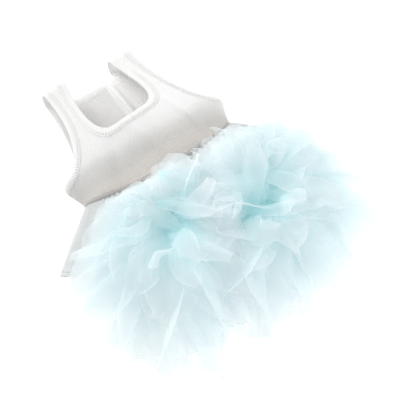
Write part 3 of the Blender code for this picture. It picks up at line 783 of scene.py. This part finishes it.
materials = {
    "knit": knitMaterial("ribKnit"),
    "binding": knitMaterial("bindingKnit"),
    "thread": threadMaterial(),
    "skirt": skirtMaterial(),
    "tulle": tulleMaterial(),
    "paper": paperMaterial(),
}
trees = {"ribs": ribTree(), "stitches": stitchTree(), "strips": stripTree()}
print("materials and node trees made")


# Vest: columns follow the ribs, which keep their spacing up the body

vest = {
    "ribPitch": 0.0019, "ribHeight": 0.00045, "unevenness": 0.0010, "samplesPerRib": 4,
    "rowStep": 0.0030, "wall": 0.0013, "tuckUnderBand": 0.55,
}


def chestArc():
    # Turns spaced evenly along a quarter of the chest's section, and their arc lengths
    turn = np.linspace(0.0, math.pi / 2.0, 2001)
    points = vestPoint(turn, np.full_like(turn, body["sideSeam"]))
    arc = np.concatenate([[0.0], np.cumsum(np.linalg.norm(np.diff(points, axis=0), axis=1))])
    return turn, arc


def insidePanel(front, right, turn, y):
    neckTurn, neckLevel = neckEdge(front, body["neckBandWidth"] * vest["tuckUnderBand"], right)
    legTurn, legLevel = legEdge(body["legBandWidth"] * vest["tuckUnderBand"])
    inner = np.where(y > neckLevel[0], np.interp(y, neckLevel, neckTurn), -1.0)
    outer = np.where(y > legLevel[0], np.interp(y, legLevel, legTurn), 9.0)
    return (turn > inner) & (turn < outer)


def makeVest():
    turns, arc = chestArc()
    ribs = int(round(arc[-1] / vest["ribPitch"]))
    columns = ribs * vest["samplesPerRib"] + 1
    cloth = np.linspace(0.0, arc[-1], columns)
    chestTurn = np.interp(cloth, arc, turns)
    chestX = body["chestWidth"] / 2.0 * np.sin(chestTurn) ** body["sectionPower"]
    rows = int(round((rollY + body["waistDip"]) / vest["rowStep"])) + 1
    points, faces, clothU, clothV = [], [], [], []
    count = 0
    for front in (True, False):
        waist = waistY(chestTurn if front else math.pi - chestTurn)
        levels = [mix(waist, rollY, row / (rows - 1)) for row in range(rows)]
        levels += [np.full(columns, level) for level in rollLevels()]
        y = np.array(levels)
        above = turnAt(np.minimum(chestX, halfWidth(y)), y)
        turn = np.where(y > body["sideSeam"], above, chestTurn)
        middleTurn = (turn[:-1, :-1] + turn[1:, 1:]) / 2.0
        middleY = (y[:-1, :-1] + y[1:, 1:]) / 2.0
        onBody = (middleTurn < math.pi / 2.0 - 1e-4) | (middleY < body["sideSeam"])
        for sign in (1.0, -1.0):
            keep = onBody & insidePanel(front, sign, middleTurn, middleY)
            placed = sign * (turn if front else math.pi - turn)
            grid = vestPoint(placed, y)
            points.append(grid.reshape(-1, 3))
            clothU.append(np.broadcast_to(sign * cloth, y.shape).ravel())
            clothV.append(y.ravel())
            for row, column in zip(*np.nonzero(keep)):
                low = count + row * columns + column
                faces.append((low, low + 1, low + columns + 1, low + columns))
            count += y.size
    points = np.concatenate(points)
    clothU, clothV = np.concatenate(clothU), np.concatenate(clothV)
    made = newMesh("ribVest", points, faces)
    addFloats(made, "ribAlong", clothU)
    addUv(made, clothU, clothV)
    mergeClose(made)
    faceOut(made, (originX, originY, body["waistHeight"] + 0.02))
    values = {
        "Rib Pitch": arc[-1] / ribs, "Rib Height": vest["ribHeight"],
        "Unevenness": vest["unevenness"], "Cloth": materials["knit"],
    }
    made = applyTree(made, trees["ribs"], values)
    return thicken(made, vest["wall"])


# Bindings: folded rib bands round the neck and the leg holes

binding = {
    "ribPitch": 0.0021, "ribHeight": 0.00034, "unevenness": 0.0004, "samplesPerRib": 4,
    "thickness": 0.0032, "seamThickness": 0.0017, "profile": 16, "squareness": 0.60,
    "overhang": 0.0003, "floorGap": 0.0003,
}


def loopAround(halves):
    turn = np.concatenate([half[0] for half in halves])
    y = np.concatenate([half[1] for half in halves])
    return turn, y


def neckLoop(offset):
    halves = []
    for front, right, rising in ((True, 1, 1), (False, 1, 0), (False, -1, 1), (True, -1, 0)):
        turn, y = neckEdge(front, offset, right)
        turn = right * (turn if front else math.pi - turn)
        if not rising:
            turn, y = turn[::-1], y[::-1]
        halves.append((turn[:-1], y[:-1]))
    return loopAround(halves)


def legLoop(offset, right):
    turn, y = legEdge(offset)
    front = (right * turn[:-1], y[:-1])
    back = (right * (math.pi - turn[::-1][:-1]), y[::-1][:-1])
    return loopAround([front, back])


def evenLoop(points, steps):
    # The same number of stations at even steps along a closed line
    closed = np.vstack([points, points[:1]])
    arc = np.concatenate([[0.0], np.cumsum(np.linalg.norm(np.diff(closed, axis=0), axis=1))])
    wanted = np.linspace(0.0, arc[-1], steps, endpoint=False)
    return np.stack([np.interp(wanted, arc, closed[:, axis]) for axis in range(3)], -1), arc[-1]


def smoothLoop(values, passes):
    for _ in range(passes):
        values = (np.roll(values, 1, 0) + 2.0 * values + np.roll(values, -1, 0)) / 4.0
    return values


def bandFrame(edge, seam, steps):
    # The band's middle line, the way across it and the way out of the cloth. The seam's
    # stations are the nearest ones to the edge's, so that ribs stand square to the edge.
    line, length = evenLoop(edge, steps)
    far, _ = evenLoop(seam, steps * 4)
    near = np.array([far[np.argmin(np.linalg.norm(far - point, axis=1))] for point in line])
    near = smoothLoop(near, 6)
    across = near - line
    tangent = np.roll(line, -1, 0) - np.roll(line, 1, 0)
    tangent /= np.linalg.norm(tangent, axis=1)[:, None]
    across -= tangent * (across * tangent).sum(1)[:, None]
    out = np.cross(tangent, across)
    out /= np.linalg.norm(out, axis=1)[:, None]
    return line, smoothLoop(across, 3), smoothLoop(out, 3), length


def bandThickness(share):
    # Full at the folded edge, flat on the vest at the seam
    return mix(binding["thickness"], binding["seamThickness"], np.clip(share, 0.0, 1.0) ** 1.5)


def makeBand(name, edge, seam, probe):
    length = evenLoop(edge, 400)[1]
    ribs = int(round(length / binding["ribPitch"]))
    steps = ribs * binding["samplesPerRib"]
    line, across, out, length = bandFrame(edge, seam, steps)
    angles = np.arange(binding["profile"]) * 2.0 * math.pi / binding["profile"]
    power = binding["squareness"]
    wide = np.sign(np.cos(angles)) * np.abs(np.cos(angles)) ** power
    high = np.sign(np.sin(angles)) * np.abs(np.sin(angles)) ** power
    width = np.linalg.norm(across, axis=1)[:, None, None]
    unit = across[:, None, :] / width
    reach = width / 2.0 + binding["overhang"]
    centre = np.array([originX, 0.0, body["sideLevel"] * body["chestHeight"]])
    if ((line - centre) * out * np.array([1.0, 0.0, 1.0])).sum() < 0.0:
        out = -out
    middle = line[:, None, :] + unit * width / 2.0
    points = middle + unit * reach * wide[None, :, None]
    rise = high * bandThickness((wide + 1.0) / 2.0) / 2.0 - vest["wall"] / 2.0
    points = points + out[:, None, :] * rise[None, :, None]
    points[..., 2] = np.maximum(points[..., 2], binding["floorGap"])
    count = binding["profile"]
    faces = []
    for step in range(steps):
        here, after = step * count, (step + 1) % steps * count
        for index in range(1, count - 1):  # open on the seam side, where the vest's edge goes in
            faces.append((here + index, here + index + 1, after + index + 1, after + index))
    made = newMesh(name, points.reshape(-1, 3), faces)
    along = np.repeat(np.arange(steps) * length / steps, count)
    sideways = np.tile(np.arange(count) / count * 2.2, steps) * body["neckBandWidth"]
    addFloats(made, "ribAlong", along)
    addUv(made, along, sideways)
    mergeClose(made)
    faceOut(made, probe)
    values = {
        "Rib Pitch": length / ribs, "Rib Height": binding["ribHeight"],
        "Unevenness": binding["unevenness"], "Cloth": materials["binding"],
    }
    return applyTree(made, trees["ribs"], values)


def surfaceLoop(loop, lift):
    # A closed line on the cloth, lifted off its outer face
    turn, y = loop
    points = vestPoint(turn, y)
    side = vestPoint(turn + 1e-3, y) - points
    up = vestPoint(turn, np.minimum(y + 1e-4, shoulderY)) - vestPoint(turn, y - 1e-4)
    out = np.cross(side, up)
    size = np.linalg.norm(out, axis=1)[:, None]
    out = np.where(size > 1e-12, out / np.maximum(size, 1e-12), 0.0)
    centre = np.array([originX, 0.0, 0.018])
    facing = ((points - centre) * out * np.array([1.0, 0.0, 1.0])).sum(1)
    out *= np.where(facing < 0.0, -1.0, 1.0)[:, None]
    points = points + smoothLoop(out, 2) * lift
    points[:, 2] = np.maximum(points[:, 2], stitching["floorGap"])
    return points


def stitchLift(share):
    return float(bandThickness(share)) / 2.0 - vest["wall"] / 2.0 + stitching["proud"]


stitching = {"pitch": 0.0030, "length": 0.0024, "thread": 0.0008, "proud": 0.0003, "floorGap": 0.0008}


def makeStitches(name, loops):
    curve = bpy.data.curves.new(name, "CURVE")
    curve.dimensions = "3D"
    for points in loops:
        spline = curve.splines.new("POLY")
        spline.points.add(len(points) - 1)
        spline.points.foreach_set("co", np.hstack([points, np.ones((len(points), 1))]).ravel())
        spline.use_cyclic_u = True
    made = bpy.data.objects.new(name, curve)
    bpy.context.scene.collection.objects.link(made)
    values = {
        "Stitch Pitch": stitching["pitch"], "Stitch Length": stitching["length"],
        "Thread": stitching["thread"], "Cloth": materials["thread"],
    }
    return applyTree(made, trees["stitches"], values)


# Underskirt

underskirt = {
    "width": 0.286, "side": 0.046, "middle": 0.125, "height": 0.030, "wave": 0.0065,
    "waves": 13, "wall": 0.0007, "around": 720, "rows": 44, "seamGap": 0.0004,
    "gathers": 74, "gatherDepth": 0.0009, "crease": 0.0016, "creases": 31,
}


def underskirtPoint(turn, share):
    turn, share = np.broadcast_arrays(np.asarray(turn, float), np.asarray(share, float))
    front = np.maximum(np.cos(turn), 0.0)
    length = mix(underskirt["side"], underskirt["middle"], front ** 1.5)
    y = waistY(turn) - underskirt["seamGap"] - length * share
    width = mix(body["waistWidth"], underskirt["width"], share ** 0.9) / 2.0
    height = mix(body["waistHeight"], underskirt["height"], share)
    x, z = sectionPoint(width, height, body["sideLevel"] * height, turn)
    wave = underskirt["wave"] * share * np.cos(underskirt["waves"] * turn)
    wave = wave * mix(0.35, 1.0, np.sin(turn) ** 2)
    gather = underskirt["gatherDepth"] * np.cos(underskirt["gathers"] * turn) * np.exp(-share * 6.0)
    crease = np.abs(np.sin(underskirt["creases"] * turn / 2.0 + 2.0 * np.sin(3.0 * turn)))
    wave = wave + gather - underskirt["crease"] * crease * eased(share * 3.0) * (1.0 - 0.4 * share)
    x = x + wave * np.sin(turn) + originX
    return np.stack([x, y + originY, np.maximum(z + wave * np.cos(turn), 0.0003)], -1)


def makeUnderskirt():
    around, rows = underskirt["around"], underskirt["rows"] + 1
    turn = np.arange(around) * 2.0 * math.pi / around
    share = np.linspace(0.0, 1.0, rows)
    points = underskirtPoint(turn[None, :], share[:, None]).reshape(-1, 3)
    faces = []
    for row in range(rows - 1):
        for step in range(around):
            after = (step + 1) % around
            low, high = row * around, (row + 1) * around
            faces.append((low + step, low + after, high + after, high + step))
    made = newMesh("underskirtSheet", points, faces, materials["skirt"])
    u = np.tile(turn * underskirt["width"] / math.pi, rows)
    v = np.repeat(share * underskirt["side"], around)
    addUv(made, u, v)
    faceOut(made, (originX, originY - underskirt["side"], body["waistHeight"] + 0.02))
    return thicken(made, underskirt["wall"])


# Rosettes

rosette = {
    "spacing": 0.081, "skew": math.radians(-21.8), "across": -0.0045, "below": 0.097,
    "reach": 0.143, "crown": 0.096, "knotWidth": 0.022, "knotHeight": 0.020,
    "neighbourGap": -0.018, "clear": 0.0012, "pressedRise": 0.85, "pressedHeight": 0.86,
    "guidePoints": 20, "cellsAcross": 10, "pleats": 1.0, "pleatDepth": 0.12,
    "ruffle": 0.0075, "ruffleSize": 0.042,
    "rootWidth": 0.006, "fullWidth": 0.034, "tipWidth": 0.017,
}

# Free reach round each knot, anticlockwise from +X, as a share of the reach, the height of
# the lowest ends as a share of the crown, and how much of its rise a layer keeps there
outline = {
    "leftReach": (0.80, 0.62, 0.43, 0.33, 0.42, 0.56, 0.76, 0.95, 1.00, 0.97, 0.92, 0.85),
    "leftEnd": (0.10, 0.40, 0.54, 0.52, 0.48, 0.38, 0.22, 0.02, 0.01, 0.01, 0.05, 0.10),
    "leftRise": (1.00, 0.92, 0.78, 0.66, 0.66, 0.74, 0.88, 1.00, 1.00, 1.00, 1.00, 1.00),
    "rightRise": (1.00, 1.00, 1.00, 0.96, 0.96, 1.00, 1.00, 1.00, 1.00, 1.00, 1.00, 1.00),
    "rightReach": (0.90, 0.94, 0.80, 0.60, 0.62, 0.80, 0.80, 0.80, 0.78, 0.68, 0.77, 0.93),
    "rightEnd": (0.10, 0.22, 0.42, 0.56, 0.40, 0.20, 0.10, 0.02, 0.01, 0.01, 0.01, 0.02),
}

# Layers of strips from the lowest up: how many, their reach as a share of the outline, rise
# of the ends towards the crown, bow as a share of the crown, root as a share of the knot,
# width as a share of the full width, and how far a strip starts from the knot's middle
layers = (
    {"strips": 34, "reach": 1.00, "rise": 0.00, "arch": 0.18, "root": 0.20, "width": 1.10, "stray": 0.000},
    {"strips": 34, "reach": 0.98, "rise": 0.08, "arch": 0.24, "root": 0.35, "width": 1.05, "stray": 0.000},
    {"strips": 32, "reach": 0.94, "rise": 0.18, "arch": 0.27, "root": 0.45, "width": 1.15, "stray": 0.002},
    {"strips": 29, "reach": 0.89, "rise": 0.30, "arch": 0.27, "root": 0.55, "width": 1.25, "stray": 0.004},
    {"strips": 26, "reach": 0.81, "rise": 0.44, "arch": 0.23, "root": 0.65, "width": 1.30, "stray": 0.006},
    {"strips": 22, "reach": 0.71, "rise": 0.58, "arch": 0.18, "root": 0.80, "width": 1.30, "stray": 0.010},
    {"strips": 17, "reach": 0.58, "rise": 0.74, "arch": 0.12, "root": 1.20, "width": 1.20, "stray": 0.014},
    {"strips": 13, "reach": 0.44, "rise": 0.88, "arch": 0.06, "root": 1.90, "width": 1.05, "stray": 0.020},
)


def outlineValue(column, angle):
    values = outline[column]
    place = math.degrees(angle) % 360.0 / 360.0 * len(values)
    low = int(place) % len(values)
    return float(mix(values[low], values[(low + 1) % len(values)], eased(place - int(place))))


class ClothBelow:
    # Height of the vest and the underskirt under a point
    def __init__(self, pieces):
        self.trees = []
        for piece in pieces:
            points = [vertex.co.copy() for vertex in piece.data.vertices]
            faces = [tuple(face.vertices) for face in piece.data.polygons]
            self.trees.append(BVHTree.FromPolygons(points, faces))

    def height(self, x, y):
        best = 0.0
        for tree in self.trees:
            hit = tree.ray_cast(Vector((x, y, 0.5)), Vector((0.0, 0.0, -1.0)))[0]
            if hit is not None:
                best = max(best, hit.z)
        return best


def pressedReach(free, side, angle, share):
    towards = rosette["skew"] + (0.0 if side == "left" else math.pi)
    facing = math.cos(angle - towards)
    if facing <= 0.02:
        return free
    plane = share * (rosette["spacing"] / 2.0 - rosette["neighbourGap"]) / facing
    return (free ** -8.0 + plane ** -8.0) ** (-1.0 / 8.0)


def stripGuide(side, centre, base, layer, angle, dice, cloth):
    # One strip's line from the knot to its end, with its width and turn at each point
    free = rosette["reach"] * outlineValue(side + "Reach", angle) * layer["reach"]
    free *= dice.uniform(0.76, 1.05)
    reach = pressedReach(free, side, angle, mix(1.0, 0.72, layer["rise"]))
    rise = float(np.clip(layer["rise"] + dice.normal(0.0, 0.05), 0.0, 1.0))
    rise *= outlineValue(side + "Rise", angle)
    end = rosette["crown"] * mix(outlineValue(side + "End", angle), 1.0, rise)
    highest = rosette["crown"] * mix(rosette["pressedHeight"], 1.0, rise)
    end = min(end + rosette["pressedRise"] * (free - reach), highest)
    root = base + rosette["knotHeight"] * layer["root"]
    arch = rosette["crown"] * layer["arch"] * dice.uniform(0.7, 1.3) * reach / free
    stray = dice.normal(0.0, layer["stray"] + 1e-5, 2)
    swirl = dice.normal(0.0, 0.17 + 12.0 * layer["stray"])
    twist = dice.normal(0.0, 0.30)
    twistEnd = dice.normal(0.0, 0.65)
    wide = dice.uniform(0.60, 1.30) * layer["width"]
    points, widths, tilts = [], [], []
    for share in np.linspace(0.0, 1.0, rosette["guidePoints"]):
        radius = mix(rosette["knotWidth"] * 0.22, reach, share)
        height = root + (end - root) * share ** 1.8 + arch * 4.0 * share * (1.0 - share)
        heading = angle + swirl * share * share
        x = centre[0] + radius * math.cos(heading) + stray[0] * (1.0 - share)
        y = centre[1] + radius * math.sin(heading) + stray[1] * (1.0 - share)
        full = rosette["fullWidth"] * wide * min(1.0, 0.55 + reach / 0.22)
        grown = mix(rosette["rootWidth"], full, float(eased(share / 0.72)))
        width = mix(grown, rosette["tipWidth"], float(eased((share - 0.74) / 0.26)))
        floor = cloth.height(x, y) + rosette["clear"] + 0.06 * width
        points.append((x, y, max(height, floor)))
        widths.append(width)
        tilts.append(twist + twistEnd * share)
    return points, widths, tilts


def makeRosette(side, centre, cloth, seed):
    dice = np.random.default_rng(seed)
    base = cloth.height(*centre) + rosette["clear"]
    curve = bpy.data.curves.new(side + "Guides", "CURVE")
    curve.dimensions = "3D"
    for number, layer in enumerate(layers):
        for index in range(layer["strips"]):
            place = (index + 0.5 * (number % 2) + dice.uniform(-0.4, 0.4)) / layer["strips"]
            angle = 2.0 * math.pi * place
            points, widths, tilts = stripGuide(side, centre, base, layer, angle, dice, cloth)
            spline = curve.splines.new("POLY")
            spline.points.add(len(points) - 1)
            for target, point, width, tilt in zip(spline.points, points, widths, tilts):
                target.co = (*point, 1.0)
                target.radius = width
                target.tilt = tilt
    made = bpy.data.objects.new(side + "RosetteTulle", curve)
    bpy.context.scene.collection.objects.link(made)
    values = {
        "Cells Across": rosette["cellsAcross"], "Pleats": rosette["pleats"],
        "Pleat Depth": rosette["pleatDepth"], "Ruffle": rosette["ruffle"],
        "Ruffle Size": rosette["ruffleSize"], "Seed": float(seed), "Cloth": materials["tulle"],
    }
    made = applyTree(made, trees["strips"], values)
    settle(made, cloth)
    return made


def settle(made, cloth):
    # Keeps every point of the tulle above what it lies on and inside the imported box
    count = len(made.data.vertices)
    points = np.empty(count * 3, np.float32)
    made.data.vertices.foreach_get("co", points)
    points = points.reshape(-1, 3)
    low, high = np.array(cadBox[0]), np.array(cadBox[1])
    middle, half = (low + high) / 2.0, (high - low) / 2.0
    for axis in (0, 1):
        share = (points[:, axis] - middle[axis]) / (half[axis] + 0.004)
        over = np.abs(share) > 0.94
        soft = 0.94 + 0.06 * np.tanh((np.abs(share) - 0.94) / 0.06)
        share = np.where(over, np.sign(share) * soft, share)
        points[:, axis] = middle[axis] + share * (half[axis] + 0.004)
    for point in points:
        floor = cloth.height(float(point[0]), float(point[1]))
        point[2] = max(point[2], floor + (0.0008 if floor > 0.0 else 0.0004))
    made.data.vertices.foreach_set("co", points.ravel())
    made.data.update()


# Making the pieces

vestPiece = makeVest()
print("vest", len(vestPiece.data.polygons))

above = (originX, originY + rollY - body["frontNeckDepth"], body["chestHeight"] + 0.02)
neckWidth, legWidth = body["neckBandWidth"], body["legBandWidth"]
neckBand = makeBand("neckBand", vestPoint(*neckLoop(0.0)), vestPoint(*neckLoop(neckWidth)), above)
legBands = {}
for side, right in (("left", -1), ("right", 1)):
    beside = (originX + right * body["chestWidth"], originY + body["sideSeam"], 0.02)
    edge, seam = vestPoint(*legLoop(0.0, right)), vestPoint(*legLoop(legWidth, right))
    legBands[side] = makeBand(side + "LegBand", edge, seam, beside)
print("bindings made")

neckRows, legRows = (0.64, 0.90), (0.62, 0.90)
neckStitches = makeStitches("neckStitches", [
    surfaceLoop(neckLoop(neckWidth * share), stitchLift(share)) for share in neckRows
])
legStitches = makeStitches("legStitches", [
    surfaceLoop(legLoop(legWidth * share, right), stitchLift(share)) for share in legRows for right in (-1, 1)
])
print("stitches made")

skirtPiece = makeUnderskirt()
hemTurn = np.linspace(0.0, 2.0 * math.pi, 900, endpoint=False)
hemLoop = underskirtPoint(hemTurn, 0.93) + np.array([0.0, 0.0, 0.0003])
waistLoop = vestPoint(hemTurn, waistY(hemTurn) + 0.004) + np.array([0.0, 0.0, 0.0005])
skirtStitches = makeStitches("skirtStitches", [hemLoop, waistLoop])
print("underskirt made")

clothBelow = ClothBelow([vestPiece, skirtPiece])
rosettePieces = {}
for side, sign, seed in (("left", -1.0, 11), ("right", 1.0, 23)):
    half = sign * rosette["spacing"] / 2.0
    centreX = originX + rosette["across"] + half * math.cos(rosette["skew"])
    centreY = originY - rosette["below"] + half * math.sin(rosette["skew"])
    rosettePieces[side] = makeRosette(side, (centreX, centreY), clothBelow, seed)
    print(side, "rosette", len(rosettePieces[side].data.polygons))


# Floor, light and camera

studio = {
    "world": 0.56, "key": 31.0, "fill": 20.0, "top": 3.5,
    "aim": (0.014, -0.011, 0.0), "distance": 1.25, "azimuth": 325.0, "elevation": 58.0, "lens": 112.5,
}


def makeFloor():
    size = stageLook["size"] / 2.0
    corners = [(-size, -size, -0.0004), (size, -size, -0.0004), (size, size, -0.0004), (-size, size, -0.0004)]
    floor = newMesh("studioFloor", corners, [(0, 1, 2, 3)], materials["paper"], smooth=False)


def makeLight(name, place, size, power):
    light = bpy.data.lights.new(name, "AREA")
    light.shape = "SQUARE"
    light.size = size
    light.energy = power
    made = bpy.data.objects.new(name, light)
    bpy.context.scene.collection.objects.link(made)
    made.location = place
    aim = Vector(studio["aim"]) - Vector(place)
    made.rotation_euler = aim.to_track_quat("-Z", "Y").to_euler()


def makeWorld():
    world = bpy.data.worlds.new("studioWorld")
    bpy.context.scene.world = world
    world.use_nodes = True
    world.node_tree.nodes.clear()
    tree = Tree.__new__(Tree)
    tree.tree = world.node_tree
    out = tree.node("ShaderNodeOutputWorld")
    light, seen = tree.node("ShaderNodeBackground"), tree.node("ShaderNodeBackground")
    light.inputs[0].default_value = seen.inputs[0].default_value = (1.0, 1.0, 1.0, 1.0)
    light.inputs[1].default_value = studio["world"]
    path = tree.node("ShaderNodeLightPath")
    both = tree.node("ShaderNodeMixShader")
    tree.link(path.outputs["Is Camera Ray"], both.inputs[0])
    tree.link(light.outputs[0], both.inputs[1])
    tree.link(seen.outputs[0], both.inputs[2])
    tree.link(both.outputs[0], out.inputs["Surface"])


def makeCamera():
    camera = bpy.data.cameras.new("camera")
    camera.lens = studio["lens"]
    made = bpy.data.objects.new("camera", camera)
    bpy.context.scene.collection.objects.link(made)
    azimuth, elevation = math.radians(studio["azimuth"]), math.radians(studio["elevation"])
    back = Vector((
        math.sin(azimuth) * math.cos(elevation), -math.cos(azimuth) * math.cos(elevation), math.sin(elevation),
    ))
    made.location = Vector(studio["aim"]) + back * studio["distance"]
    made.rotation_euler = back.to_track_quat("Z", "Y").to_euler()
    bpy.context.scene.camera = made


bpy.context.scene.view_settings.view_transform = "Standard"  # plain white stays white
makeFloor()
makeWorld()
makeLight("keyLight", (-0.55, 1.75, 0.95), 1.1, studio["key"])
makeLight("fillLight", (1.55, -1.25, 0.65), 1.2, studio["fill"])
makeLight("topLight", (0.1, 0.1, 1.9), 1.4, studio["top"])
makeCamera()
print("studio made")


# Pieces go under the root and hide the imported parts they stand for

def register(piece, slot, *nodes):
    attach(piece, "root")
    if nodes:
        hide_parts(*nodes)


def clothArea(piece, sides):
    return sum(face.area for face in piece.data.polygons) / sides


register(vestPiece, "rib_knit", "vest")
register(neckBand, "rib_binding", "neck_binding")
register(legBands["left"], "rib_binding", "left_leg_binding")
register(legBands["right"], "rib_binding", "right_leg_binding")
register(skirtPiece, "underskirt_cloth", "underskirt")
register(neckStitches, "rib_binding")
register(legStitches, "rib_binding")
register(skirtStitches, "rib_binding")
register(rosettePieces["left"], "tulle", "left_rosette")
register(rosettePieces["right"], "tulle", "right_rosette")
for piece, sides in ((vestPiece, 2), (neckBand, 1), (legBands["left"], 1), (skirtPiece, 2),
                     (rosettePieces["left"], 1), (rosettePieces["right"], 1)):
    print(piece.name, "cloth area", round(clothArea(piece, sides), 4))

bpy.context.view_layer.update()
